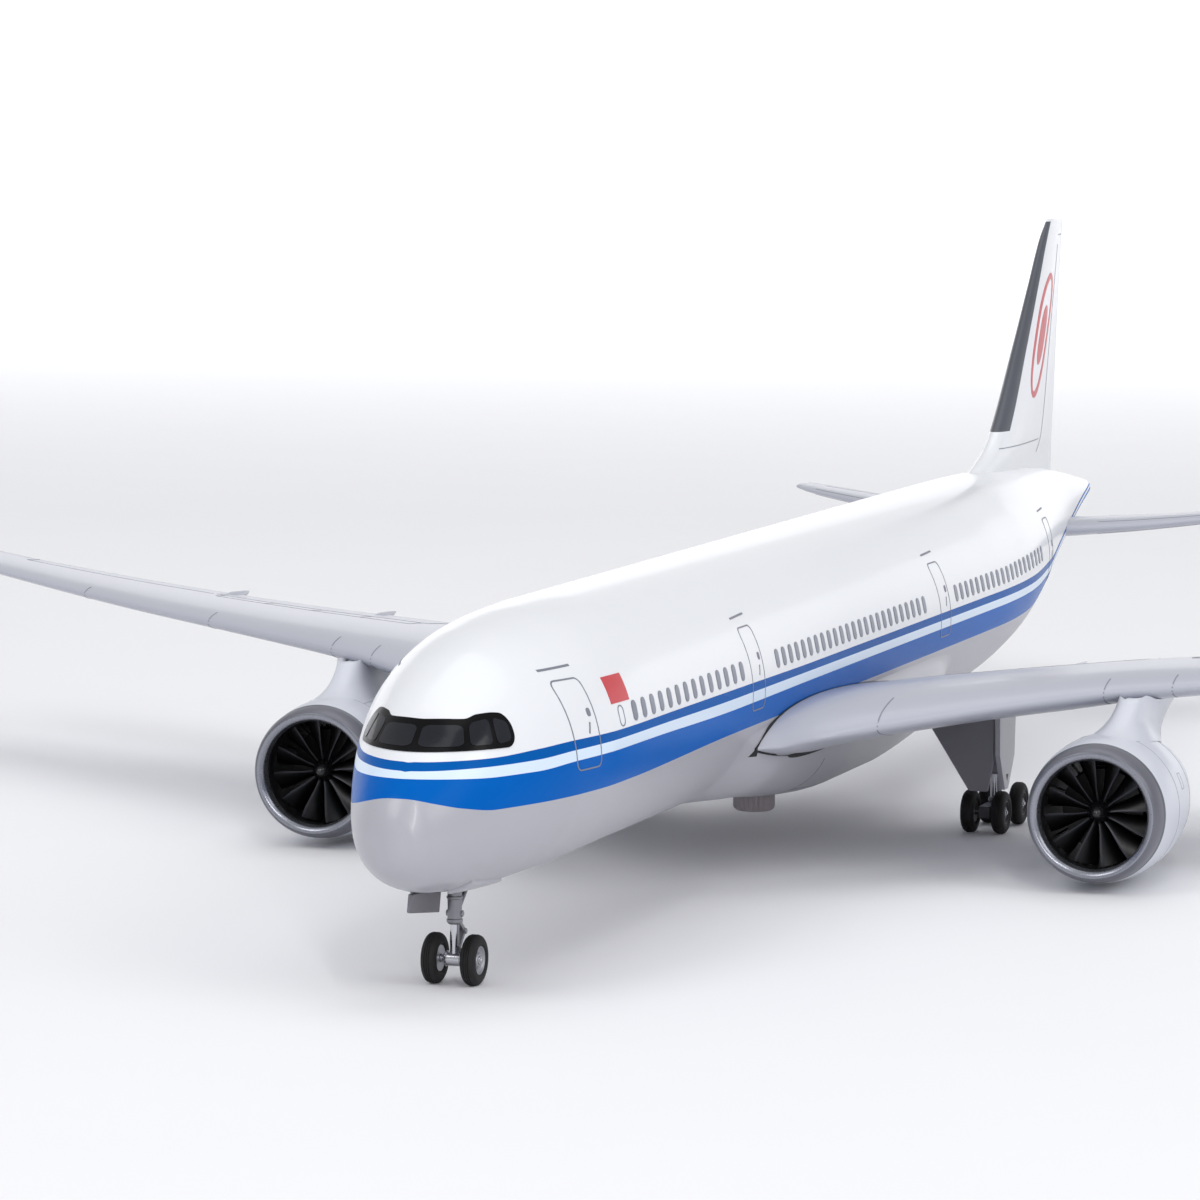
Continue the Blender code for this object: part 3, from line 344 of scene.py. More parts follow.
def lathe(bm, profile, centre, axis, segments=96, paint=0, loop=True):
    """Turns a profile of (along, radius) round an axis; a loop profile gives a closed wall."""
    turn = {"X": Matrix.Rotation(math.pi / 2, 3, "Y"), "Y": Matrix.Rotation(-math.pi / 2, 3, "X"),
            "Z": Matrix.Identity(3)}[axis]
    rings = []
    for angle in (at + math.pi / segments for at in circle(segments)):
        rings.append([centre + turn @ Vector((r * math.cos(angle), r * math.sin(angle), a)) * SCALE
                      for a, r in profile])
    skin(bm, rings, paint, closed=loop, wrap=True)


def bar(bm, start, end, radius, segments=24, paint=0):
    """A round bar between two full-size points, with soft edges."""
    a, b = place(*start), place(*end)
    along = (b - a).normalized()
    side = along.orthogonal().normalized()
    other = along.cross(side)
    soft = 0.16 * radius
    rings = []
    for point, r in ((a, radius - soft), (a + along * soft * SCALE, radius),
                     (b - along * soft * SCALE, radius), (b, radius - soft)):
        rings.append([point + (side * math.cos(t) + other * math.sin(t)) * r * SCALE
                      for t in circle(segments)])
    skin(bm, rings, paint)


def link(bm, start, end, half_width, half_thick):
    """A flat link across the centre plane between two points of (station, height)."""
    outline = [(at[0], at[1] + way * half_thick)
               for at, way in ((start, -1), (end, -1), (end, 1), (start, 1))]
    skin(bm, [[place(x, *at) for at in outline] for x in (-half_width, half_width)])


def oblong(u0, u1, v0, v1, step):
    """A closed outline round a rectangle, with points no further apart than step."""
    return dense([(u0, v0), (u1, v0), (u1, v1), (u0, v1)], step, True)


def dense(path, step, closed=False):
    """The path with extra points, so that no stretch is longer than step."""
    made = []
    pairs = list(zip(path, path[1:] + path[:1] if closed else path[1:]))
    for (u0, v0), (u1, v1) in pairs:
        count = max(1, math.ceil(math.hypot(u1 - u0, v1 - v0) / step))
        made += [(u0 + (u1 - u0) * k / count, v0 + (v1 - v0) * k / count) for k in range(count)]
    return made if closed else made + [path[-1]]


def strip(bm, surface, path, width, paint=0, closed=False, lift=LIFT, step=0.25):
    """A printed line of constant width that follows a path over a surface(u, v, out)."""
    path = dense(path, step, closed)
    last = len(path) - 1
    rings = []
    for k, (u, v) in enumerate(path):
        before = path[k - 1] if closed or k else path[0]
        after = path[(k + 1) % len(path)] if closed or k < last else path[last]
        du, dv = after[0] - before[0], after[1] - before[1]
        size = math.hypot(du, dv) or 1.0
        nu, nv = -dv / size * width / 2, du / size * width / 2
        rings.append([surface(u + nu, v + nv, -lift), surface(u + nu, v + nv, lift),
                      surface(u - nu, v - nv, lift), surface(u - nu, v - nv, -lift)])
    skin(bm, rings, paint, wrap=closed)


def patch(bm, surface, outline, paint=0, lift=LIFT, shares=(1.0, 0.85, 0.6, 0.3)):
    """A thin raised sheet inside an outline of (u, v) over a surface(u, v, out)."""
    mid_u = sum(p[0] for p in outline) / len(outline)
    mid_v = sum(p[1] for p in outline) / len(outline)
    rings = [[surface(u, v, -lift) for u, v in outline]]
    for share in shares:
        rings.append([surface(mid_u + (u - mid_u) * share, mid_v + (v - mid_v) * share, lift)
                      for u, v in outline])
    skin(bm, rings, paint, ends=(True, False))
    centre = bm.verts.new(surface(mid_u, mid_v, lift))
    bm.verts.ensure_lookup_table()
    inner = bm.verts[-1 - len(outline):-1]
    for i, vert in enumerate(inner):
        face = bm.faces.new((vert, inner[(i + 1) % len(inner)], centre))
        face.material_index = paint


# ---------------------------------------------------------------- fuselage
def section(station):
    """Half-width, top, bottom and widest height of the fuselage, drawn in to a rounded tip at the nose."""
    share = 1.0
    if station < NOSE:
        share = math.sqrt(max(station - (NOSE - TIP_LENGTH), 1e-6) / TIP_LENGTH)
    widest = smooth(WIDEST, station)
    top, bottom = smooth(TOP, station) - widest, widest - smooth(BOTTOM, station)
    return smooth(HALF_WIDTH, station) * share, top * share, bottom * share, widest


def side_skin(side):
    """The fuselage's flank as a surface of (station, height)."""
    def surface(station, height, out):
        half, top, bottom, widest = section(station)
        rise = top if height > widest else bottom
        up = max(min((height - widest) / rise, 1.0), -1.0)
        across = math.sqrt(1 - up * up)
        normal = Vector((across / half, up / rise)).normalized()
        return place(side * (half * across + normal.x * out), station, height + normal.y * out)
    return surface


def belly_skin(x, station, out):
    """The underside of the fuselage as a surface of (x, station)."""
    half, _, bottom, widest = section(station)
    return place(x, station, widest - bottom * math.sqrt(max(1 - (x / half) ** 2, 0)) - out)


def fuselage():
    """The painted skin: its rows of panels follow the stripes' edges, so each stripe is clean-edged."""
    stations = spaced(NOSE - TIP_LENGTH + 0.0005, NOSE, 6, 2) + spaced(NOSE, 2.6, 56) + spaced(2.6, 5.6, 50)
    stations += spaced(5.6, 12, 40) + spaced(12, 43, 40) + spaced(43, TAIL, 74) + [TAIL]
    rings = []
    for station in stations:
        half, top, bottom, widest = section(station)
        keys = [math.pi / 2]
        for edge in STRIPE_EDGES:
            height = smooth(edge, station) - widest
            up = height / (top if height > 0 else bottom)
            keys.append(min(keys[-1], math.asin(max(min(up, 1), -1))))
        keys.append(-math.pi / 2)
        angles = []
        for count, a, b in zip(BANDS, keys, keys[1:]):
            angles += [a + (b - a) * k / count for k in range(count)]
        arc = [(half * math.cos(a), widest + (top if a > 0 else bottom) * math.sin(a)) for a in angles]
        ring = [place(x, station, z) for x, z in arc] + [place(0, station, widest - bottom)]
        ring += [place(-x, station, z) for x, z in arc[:0:-1]]
        rings.append(ring)
    # a shallow dished outlet closes the tail
    end = rings[-1]
    centre = sum(end, Vector()) / len(end)
    for share, back in ((0.72, 0.0), (0.66, -0.30)):
        rings.append([centre + (p - centre) * share + Vector((0, back * SCALE, 0)) for p in end])
    half_count = sum(BANDS)
    bounds = [sum(BANDS[:k + 1]) for k in range(len(BANDS))]
    outlet_rows = len(stations) - 1

    def paint(row, column):
        if row > outlet_rows:
            return 5
        column = column if column < half_count else 2 * half_count - 1 - column
        return next(k for k, bound in enumerate(bounds) if column < bound)

    bm = bmesh.new()
    skin(bm, rings, paint)
    bm.faces.ensure_lookup_table()
    bm.faces[-2].material_index = 4  # the tip of the nose is belly grey
    bm.faces[-1].material_index = 5
    bmesh.ops.dissolve_degenerate(bm, dist=1e-7, edges=bm.edges)
    piece("fuselage_skin", bm, [WHITE, THIN_BLUE, PALE_BLUE, DEEP_BLUE, BELLY_GREY, BAY_DARK], "white_paint",
          ["fuselage_left_half", "fuselage_right_half"], crease=50)


def nose_skin(angle, height, out):
    """Where a level ray from the glazing's pivot leaves the nose, `angle` degrees off straight ahead."""
    dx, dy = math.sin(math.radians(angle)), -math.cos(math.radians(angle))
    low, high = 0.0, 6.0
    for _ in range(30):
        reach = (low + high) / 2
        station = GLAZING_PIVOT + reach * dy
        inside = False
        if station > NOSE:
            half, top, bottom, widest = section(station)
            rise = top if height > widest else bottom
            inside = (reach * dx / half) ** 2 + ((height - widest) / rise) ** 2 < 1
        low, high = (reach, high) if inside else (low, reach)
    reach = low + out
    return place(reach * dx, GLAZING_PIVOT + reach * dy, height)


def glazing():
    """The black mask round the cockpit, and six smoked panes standing on it."""
    steps, rise = 120, 8
    rings = []
    for k in range(steps + 1):
        angle = GLAZING_SWEEP * math.sin(math.pi / 2 * (-1 + 2 * k / steps))
        low, high = smooth(GLAZING_LOW, abs(angle)), smooth(GLAZING_HIGH, abs(angle))
        closing = max(0.0, (abs(angle) - GLAZING_SWEEP) / GLAZING_ROUND + 1)
        middle, spread = (low + high) / 2, (high - low) / 2 * max(1 - closing**2.6, 0.0004) ** (1 / 2.6)
        heights = [middle + spread * (-1 + 2 * t / rise) for t in range(rise + 1)]
        rings.append([nose_skin(angle, h, MASK_RISE) for h in heights]
                     + [nose_skin(angle, h, -GAP) for h in reversed(heights)])
    shell("cockpit_mask", rings, [MASK_BLACK], "cockpit_black", ["cockpit_glazing"], crease=40, bevel=0.012)
    for label, side in SIDES:
        for number, (first, last) in enumerate(PANE_SPANS, 1):
            bm = bmesh.new()
            outline = []
            for u, v in rounded_box(0, 0, 2, 2, 0.42, 6):
                angle = first + (last - first) * (u + 1) / 2
                low, high = smooth(GLAZING_LOW, angle) + 0.10, smooth(GLAZING_HIGH, angle) - 0.12
                if number == 3:
                    taper = max(0.0, u) * 0.06
                    low, high = low + taper, high - taper
                outline.append((side * angle, low + (high - low) * (v + 1) / 2))
            patch(bm, nose_skin, dense(outline, 2.0, True), lift=MASK_RISE + 0.012,
                  shares=(1.0, 0.94, 0.75, 0.5, 0.25))
            piece(f"cockpit_pane_{label}_{number}", bm, [PANE], "cockpit_black")


def cabin_side(label, side):
    """Windows, door outlines with their gutters and handles, and a plain red panel, on one flank."""
    surface = side_skin(side)
    bm = bmesh.new()
    for start, count, pitch in WINDOW_RUNS:
        for k in range(count):
            at = start + k * pitch
            height = WINDOW_HEIGHT + 0.024 * max(0.0, at - 44)
            patch(bm, surface, rounded_box(at, height, 0.31, WINDOW_RISE, 0.13, 4), 1, LIFT, (1.0, 0.7))
            patch(bm, surface, rounded_box(at, height, 0.25, WINDOW_RISE - 0.06, 0.10, 4), 0, LIFT * 1.5,
                  (1.0, 0.5))
    piece(f"cabin_windows_{label}", bm, [WINDOW, PRINT_GREY], "white_paint")

    bm = bmesh.new()
    for front, width, sill, head in DOORS:
        middle = front + width / 2
        strip(bm, surface, rounded_box(middle, (sill + head) / 2, width, head - sill, 0.16, 4), 0.032,
              closed=True)
        strip(bm, surface, [(front - 0.05, head + 0.24), (front + width + 0.05, head + 0.27)], 0.045)
        strip(bm, surface, [(front + width * 0.62, 0.42), (front + width * 0.72, 0.66)], 0.05)
        patch(bm, surface, rounded_box(front + width * 0.78, 0.88, 0.15, 0.19, 0.06, 3), 0, LIFT * 1.4,
              (1.0, 0.5))
    strip(bm, surface, rounded_box(8.47, 0.63, 0.30, 0.46, 0.13, 4), 0.03, closed=True)
    piece(f"door_lines_{label}", bm, [PRINT_GREY], "white_paint")

    bm = bmesh.new()
    patch(bm, surface, dense([(8.06, 0.93), (9.14, 0.93), (9.18, 1.53), (8.10, 1.53)], 0.15, True),
          shares=INSET_SHARES)
    piece(f"red_panel_{label}", bm, [RED], "white_paint")


def nose_gear_bay():
    """The nose-gear bay between its doors: a flat dark sheet of painted shade on the belly."""
    bm = bmesh.new()
    patch(bm, belly_skin, oblong(-0.42, 0.42, 3.45, 5.95, 0.2), shares=INSET_SHARES)
    piece("nose_gear_bay", bm, [BAY_DARK], "strut_grey")


# ---------------------------------------------------------------- belly fairing
def fairing_side(station):
    return max(smooth(FAIRING_WIDTH, station), smooth(HALF_WIDTH, station) + GAP + 0.06)


def fairing_reach(station, angle):
    """Distances from the fairing's centre to its inner and outer face; its ends melt into the fuselage."""
    half, deep = fairing_side(station), smooth(FAIRING_BOTTOM, station)
    a, b = smooth(HALF_WIDTH, station), -smooth(BOTTOM, station)
    c, s = math.cos(angle), math.sin(angle)
    qa, qb, qc = (c / a) ** 2 + (s / b) ** 2, 2 * FAIRING_TOP * s / b**2, (FAIRING_TOP / b) ** 2 - 1
    reach = (-qb + math.sqrt(qb * qb - 4 * qa * qc)) / (2 * qa)
    square = (abs(c / half) ** 2.9 + abs(s / (deep + FAIRING_TOP)) ** 2.9) ** (-1 / 2.9)
    swell = smoothstep(max(0.0, min(1, (station - FAIRING_FRONT) / 3.2, (FAIRING_BACK - station) / 3.2)))
    swell *= smoothstep(min(1.0, abs(s) / 0.22))
    return reach - 0.06, reach - 0.02 + max(0.08, square - reach) * swell


def fairing_skin(angle, station, out):
    """The fairing as a surface of (angle below the left side in radians, station)."""
    _, wide = fairing_reach(station, -angle)
    return place((wide + out) * math.cos(angle), station, FAIRING_TOP - (wide + out) * math.sin(angle))


def belly_fairing():
    """The bulge between the wings, with the lines of its panels."""
    arc = 60
    rings = []
    for station in spaced(FAIRING_FRONT, FAIRING_BACK, 84) + [FAIRING_BACK]:
        outer, inner = [], []
        for k in range(arc + 1):
            angle = -math.pi * k / arc
            near, wide = fairing_reach(station, angle)
            inner.append(place(near * math.cos(angle), station, FAIRING_TOP + near * math.sin(angle)))
            outer.append(place(wide * math.cos(angle), station, FAIRING_TOP + wide * math.sin(angle)))
        rings.append(outer + inner[::-1])
    shell("belly_fairing_skin", rings, [BELLY_GREY], "light_grey_paint", ["belly_fairing"], crease=45)
    bm = bmesh.new()
    for station in (25.2, 36.4):
        strip(bm, fairing_skin, [(0.5, station), (math.pi - 0.5, station)], 0.026, step=0.06)
    for angle in (0.9, math.pi - 0.9):
        strip(bm, fairing_skin, [(angle, 25.2), (angle, 36.4)], 0.01)
    piece("belly_panel_lines", bm, [PANEL_LINE], "light_grey_paint")


# ---------------------------------------------------------------- wings
def half_thickness(c):
    return 5.0 * (0.2969 * math.sqrt(c) - 0.126 * c - 0.3516 * c**2 + 0.2843 * c**3 - 0.1015 * c**4)


def wing_point(span, c, upper, out=0.0):
    """x, station and height on the wing at a share of its chord, standing `out` off the surface."""
    front, high, chord, thick, back = values(WING, span, 1, 2, 3, 4, 5)
    inboard = span - WING_ROOT_X
    # the root has a sharp nose, and its underside is slimmer ahead of the main gear
    wedge = 0.62 * max(0.0, 1 - inboard / 2.0) * math.exp(-c / 0.045)
    slim = 0.0
    if not upper:
        slim = 0.52 * max(0.0, 1 - (inboard / 6.2) ** 2) * max(0.0, 1 - c / 0.7)
    rise = 2 * max(half_thickness(c) * thick * (1 - wedge) * (1 - slim), 0.032) * (0.52 if upper else -0.48)
    lean = 0.0
    if span > KINK_X:
        lean = math.atan2(smooth(WING, span + 0.15, 2) - smooth(WING, span - 0.15, 2), 0.3)
        lean *= min((span - KINK_X) / 1.5, 1.0)
    rise += out if upper else -out
    return span - rise * math.sin(lean), front + chord * c, high + (back - high) * c + rise * math.cos(lean)


def wing_skin(side, upper):
    """The wing's upper or lower face as a surface of (span, station)."""
    def surface(span, station, out):
        front, chord = smooth(WING, span), smooth(WING, span, 3)
        c = min(max((station - front) / chord, 0.0), 1.0)
        x, at, z = wing_point(span, c, upper, out)
        return place(side * x, at, z)
    return surface


def wing_at(span, share):
    """The place at a share of the wing's chord, as (span, station)."""
    return span, smooth(WING, span) + smooth(WING, span, 3) * share


def chord_line(share, spans, step=0.5):
    """Points of (span, station) at a share of the chord, between two spans."""
    count = max(1, round((spans[1] - spans[0]) / step))
    return [wing_at(spans[0] + (spans[1] - spans[0]) * k / count, share) for k in range(count + 1)]


def root_side(station, height):
    """Half-width of the fairing, or of the fuselage above it, where the wing's root meets it."""
    if height > FAIRING_TOP:
        half, _, bottom, widest = section(station)
        return half * math.sqrt(max(1 - ((height - widest) / bottom) ** 2, 0))
    x = WING_ROOT_X
    for _ in range(6):
        angle = math.atan2(FAIRING_TOP - height, x)
        x = fairing_reach(station, -angle)[1] * math.cos(angle)
    return x


def wing_shell(label, side):
    chords = crowded_ends(34)
    rings = []
    spans = (spaced(WING_ROOT_X, 5.6, 14) + spaced(5.6, KINK_X, 44) + spaced(KINK_X, WING_TIP_X, 30)
             + [WING_TIP_X])
    for span in spans:
        ring = []
        for upper, line in ((True, chords[::-1]), (False, chords[1:])):
            for c in line:
                x, at, z = wing_point(span, c, upper)
                if c == 0:
                    z = smooth(WING, span, 2)
                if span == WING_ROOT_X:
                    x = min(2.8, root_side(at, z) - 0.08)
                ring.append(place(side * x, at, z))
        rings.append(ring)
    # the tip is rounded off past the last section
    end = rings[-1]
    middle = place(side * WING_TIP_X, smooth(WING, WING_TIP_X) + 0.62, 2.545)
    for share, rise in ((0.93, 0.030), (0.72, 0.060), (0.30, 0.075)):
        rings.append([middle + (p - middle) * share + Vector((side * rise * 0.5, 0.02, rise)) * SCALE
                      for p in end])
    shell(f"wing_skin_{label}", rings, [WING_GREY], "light_grey_paint", [f"wing_{label}"], crease=40)


def wing_root_painted_shade(label, side):
    """Painted shade round the root: a dark sheet where the crevice lies in shade, a painted shadow in the gap
    below it and a dark corner of painted shade at its front.
    """
    chords = crowded_ends(34)
    bm = bmesh.new()
    rings = []
    for depth in (-0.3, 0.03):
        ring = []
        for upper, line in ((True, chords[-2::-1]), (False, chords[1:-1])):
            for c in line:
                _, at, z = wing_point(WING_ROOT_X, c, upper, 0.016)
                ring.append(place(side * (root_side(at, z) + depth), at - 0.03 * (1 - c), z))
        rings.append(ring)
    skin(bm, rings)

    def below_root(station, height):
        return math.atan2(FAIRING_TOP - height, root_side(station, height))

    def on_side(angle):
        return angle if side > 0 else math.pi - angle

    # a dark strip on the fairing under the root: a painted shadow in the gap
    gap_front, gap_length = 21.4, 7.0
    rings = []
    for station in spaced(gap_front, gap_front + gap_length, 28) + [gap_front + gap_length]:
        t = (station - gap_front) / gap_length
        front, chord = values(WING, WING_ROOT_X, 1, 3)
        low = wing_point(WING_ROOT_X, (station - front) / chord, False)[2] - 0.015
        angle = below_root(station, low)
        wide = (0.085 * math.sin(math.pi * t**0.45) + 0.006) / fairing_reach(station, -angle)[1]
        high_edge, low_edge = on_side(angle), on_side(angle + wide)
        rings.append([fairing_skin(at, station, out) for at, out in
                      ((high_edge, -LIFT), (high_edge, LIFT), (low_edge, LIFT), (low_edge, -LIFT))])
    skin(bm, rings)
    # a small dark corner ahead of the root's front: painted shade
    corner = [(on_side(below_root(station, height)), station)
              for station, height in ((19.10, -1.66), (19.46, -1.38), (19.52, -1.69))]
    patch(bm, fairing_skin, dense(corner, 0.1, True), shares=(1.0, 0.7, 0.4))
    piece(f"wing_root_seal_{label}", bm, [BAY_DARK], "cockpit_black")


def wing_panel_lines(label, side):
    """Hinge lines of flaps and ailerons, joints of the slats, and the spoilers on top."""
    bm = bmesh.new()
    for upper in (True, False):
        surface = wing_skin(side, upper)
        for share, spans in ((0.72, (3.8, 9.6)), (0.74, (10.9, 18.6)), (0.75, (18.9, 26.4))):
            strip(bm, surface, chord_line(share, spans), 0.03)
        for span, low, high in ((9.6, 0.72, 1), (10.9, 0.74, 1), (18.75, 0.74, 1), (26.4, 0.75, 1),
                                (5.1, 0, 0.13), (10.05, 0, 0.09), (11.6, 0, 0.09), (16.6, 0, 0.10),
                                (22.0, 0, 0.10)):
            strip(bm, surface, [wing_at(span, low), wing_at(span, high)], 0.035, step=0.12)
        if upper:
            strip(bm, surface, chord_line(0.61, (11.1, 18.4)), 0.022)
            for span in (11.1, 12.9, 14.7, 16.5, 18.4):
                strip(bm, surface, [wing_at(span, 0.615), wing_at(span, 0.735)], 0.022)
    piece(f"wing_panel_lines_{label}", bm, [PANEL_LINE], "light_grey_paint")


def flap_fairings(label, side):
    """Canoe-shaped fairings over the flap tracks, which stand out behind the wing."""
    for number, span in enumerate((7.4, 13.4, 18.8), 1):
        front, chord = values(WING, span, 1, 3)
        start, length = front + chord * 0.52, chord * 0.48 + 1.05
        rings = []
        for t in (k / 24 for k in range(25)):
            size = max(math.sin(math.pi * t**0.8) ** 0.62, 0.04)
            wide, deep = 0.20 * size, 0.44 * size * (1 - 0.25 * t)
            station = start + length * t
            _, _, base = wing_point(span, min((station - front) / chord, 1.0), False)
            rings.append([place(side * (span + wide * math.cos(a)), station,
                                base + 0.06 - deep * 0.35 + deep * 0.65 * math.sin(a)) for a in circle(28)])
        shell(f"flap_fairing_{label}_{number}", rings, [WING_GREY], "light_grey_paint")


def main_gear_bay(label, side):
    # the main-gear bay: a flat dark sheet of painted shade under the wing
    bm = bmesh.new()
    patch(bm, wing_skin(side, False), oblong(4.15, 6.5, 31.2, 32.95, 0.25), shares=INSET_SHARES)
    piece(f"main_gear_bay_{label}", bm, [BAY_DARK], "strut_grey")


# ---------------------------------------------------------------- tail
def foil_half(c, half):
    """Half the thickness of a symmetric section, which is never knife-thin behind its nose."""
    return max(2 * half_thickness(c) * half, 0.030) if c else 0.0


def tail_at(table, span, share):
    """The place at a share of the fin's or the tailplane's chord, as (span, station)."""
    front, back = values(table, span, 1, 2)
    return span, front * (1 - share) + back * share


def fin_skin(side):
    """The fin's face as a surface of (height, station)."""
    def surface(height, station, out):
        front, back, half = values(FIN, height, 1, 2, 3)
        c = min(max((station - front) / (back - front), 0.0), 1.0)
        offset = max(2 * half_thickness(c) * half, 0.030 if c > 0.001 else 0.0) + out
        return place(side * offset, station, height)
    return surface


def fin():
    """The fin, which grows out of the fuselage's crown, with its grey front edge and its rudder line."""
    count = 30
    chords = crowded_ends(count)
    strip_end = min(range(count), key=lambda k: abs(chords[k] - EDGE_SHARE))
    heights = spaced(2.9, 3.62, 8) + spaced(3.62, 10.45, 42) + [10.45]
    rings = []
    for row, height in enumerate(heights):
        front, back, half = values(FIN, height, 1, 2, 3)
        ring = []
        for side, line in ((1, chords[::-1]), (-1, chords[1:])):
            for c in line:
                station = front + (back - front) * c
                crown = smooth(TOP, station) - 0.05
                ring.append(place(side * foil_half(c, half), station, max(height, crown) if row else crown))
        rings.append(ring)
    end = rings[-1]
    middle = sum(end, Vector()) / len(end)
    for share, rise in ((0.95, 0.035), (0.75, 0.062), (0.35, 0.075)):
        rings.append([middle + Vector(((p - middle).x * share, (p - middle).y * (0.6 + 0.4 * share),
                                       rise * SCALE)) for p in end])
    edge_from = next(k for k, height in enumerate(heights) if height > 4.1)
    edge_to = len(heights) - 2

    def paint(row, column):
        near = min(abs(column - count), abs(column + 1 - count))
        return 1 if edge_from <= row <= edge_to and near < strip_end else 0

    shell("fin_skin", rings, [WHITE, EDGE_GREY], "white_paint", ["fin"], paint=paint, crease=40)
    bm = bmesh.new()
    for side in (1, -1):
        surface = fin_skin(side)
        strip(bm, surface, [tail_at(FIN, h, 0.70) for h in spaced(3.2, 10.2, 14)], 0.035)
        strip(bm, surface, [(3.62, 53.1), (3.62, 57.9)], 0.026)
        strip(bm, surface, [tail_at(FIN, 10.0, 0.70), (10.0, 61.6)], 0.03)
    piece("fin_panel_lines", bm, [PANEL_LINE], "white_paint")


def fin_ovals():
    """A plain red ring with an oval in it, on each face of the fin."""
    high, back = 6.9, 58.3  # its centre: height and station
    for label, side in SIDES:
        bm = bmesh.new()
        ring = []
        for t in circle(48):
            swell = 1 - 0.18 * math.cos(2 * t)
            rise = 1.55 * math.sin(t) * swell
            ring.append((high + rise, back + 0.72 * rise + math.cos(t) * swell))
        strip(bm, fin_skin(side), ring, 0.20, closed=True, step=0.12)
        core = [(high + (v - high) * 0.5, back + (u - back) * 0.5) for v, u in ring]
        patch(bm, fin_skin(side), core, shares=(1.0, 0.85, 0.7, 0.55, 0.4, 0.2))
        piece(f"fin_oval_{label}", bm, [RED], "white_paint")


def tailplane_surface(side, upper):
    def surface(span, station, out):
        front, back, height, half = values(TAILPLANE, span, 1, 2, 3, 4)
        c = min(max((station - front) / (back - front), 0.0), 1.0)
        offset = max(2 * half_thickness(c) * half, 0.030) + out
        return place(side * span, station, height + (offset if upper else -offset))
    return surface


def tailplane(label, side):
    chords = crowded_ends(26)
    rings = []
    for span in spaced(0.6, 9.3, 40) + [9.3]:
        front, back, height, half = values(TAILPLANE, span, 1, 2, 3, 4)
        ring = []
        for way, line in ((1, chords[::-1]), (-1, chords[1:])):
            ring += [place(side * span, front + (back - front) * c, height + way * foil_half(c, half))
                     for c in line]
        rings.append(ring)
    end = rings[-1]
    middle = sum(end, Vector()) / len(end)
    for share, out in ((0.93, 0.03), (0.7, 0.055), (0.3, 0.07)):
        rings.append([middle + Vector((side * out * SCALE, (p - middle).y * (0.5 + 0.5 * share),
                                       (p - middle).z * share)) for p in end])
    shell(f"tailplane_skin_{label}", rings, [WING_GREY], "light_grey_paint", [f"tailplane_{label}"],
          crease=40)
    bm = bmesh.new()
    for upper in (True, False):
        surface = tailplane_surface(side, upper)
        strip(bm, surface, [tail_at(TAILPLANE, s, 0.70) for s in spaced(1.9, 9.1, 12)], 0.028)
        strip(bm, surface, [tail_at(TAILPLANE, s, 0.08) for s in spaced(2.2, 9.0, 12)], 0.022)
    piece(f"tailplane_panel_lines_{label}", bm, [PANEL_LINE], "light_grey_paint")


# ---------------------------------------------------------------- engines
def engine_front(side, setback=0.0):
    return place(side * ENGINE_X, ENGINE_FRONT + setback, ENGINE_Z)


def cowl_skin(side):
    """The cowl as a surface of (angle from the crown in radians, distance behind the intake)."""
    def surface(angle, along, out):
        r = smooth(COWL_OUTSIDE, along) + out
        return place(side * ENGINE_X + r * math.sin(angle), ENGINE_FRONT + along,
                     ENGINE_Z + r * math.cos(angle))
    return surface


def radial(angle):
    """Unit vectors outward and crosswise at an angle round an engine's axis."""
    return Vector((math.cos(angle), 0, math.sin(angle))), Vector((-math.sin(angle), 0, math.cos(angle)))


def nacelle(label, side):
    """A hollow cowl: a grey ring behind the lip, where the grey is a painted darker reflection of the metal,
    the painted outside, then the dark duct.
    """
    start, ring_to = LIP_LENGTH + 0.02, 0.62
    ring = [(start, 1.70), (start + 0.005, 1.715), (ring_to - 0.03, 1.775)]
    outside = [(a, smooth(COWL_OUTSIDE, a)) for a in spaced(start + 0.03, COWL_END, 30) if a > ring_to]
    outside.append((COWL_END, 1.275))
    inside = [(COWL_END - 0.02, 1.245), (4.6, 1.40), (3.3, 1.47), (1.75, DUCT_R), (0.9, DUCT_R),
              (start + 0.03, 1.405), (start, 1.42)]
    first_inside = len(ring) + len(outside)

    def paint(_, column):
        return 1 if column >= first_inside else 2 if column < 2 else 0

    bm = bmesh.new()
    lathe(bm, ring + outside + inside, engine_front(side), "Y", 128, paint)
    piece(f"nacelle_shell_{label}", bm, [COWL_GREY, DUCT_DARK, LIP_DARK_REFLECTION], "light_grey_paint",
          [f"nacelle_{label}"])


def intake_lip(label, side):
    """A rounded lip: its first steps, over the front, are polished, and the rest takes the ring's grey, a
    painted darker reflection of the lip's outward face.
    """
    arc = [(0.42, 1.42), (0.30, 1.385), (0.18, 1.39), (0.07, 1.43), (0.0, 1.53), (0.03, 1.63), (0.17, 1.70),
           (0.32, 1.737), (0.455, 1.758)]
    polished = 27
    bm = bmesh.new()
    lathe(bm, rounded_path(arc, 6) + [(0.455, 1.70), (0.42, 1.45)], engine_front(side), "Y", 128,
          lambda _, column: 0 if column < polished else 1)
    piece(f"intake_lip_{label}", bm, [SILVER, LIP_DARK_REFLECTION], "silver", [f"inlet_lip_{label}"])


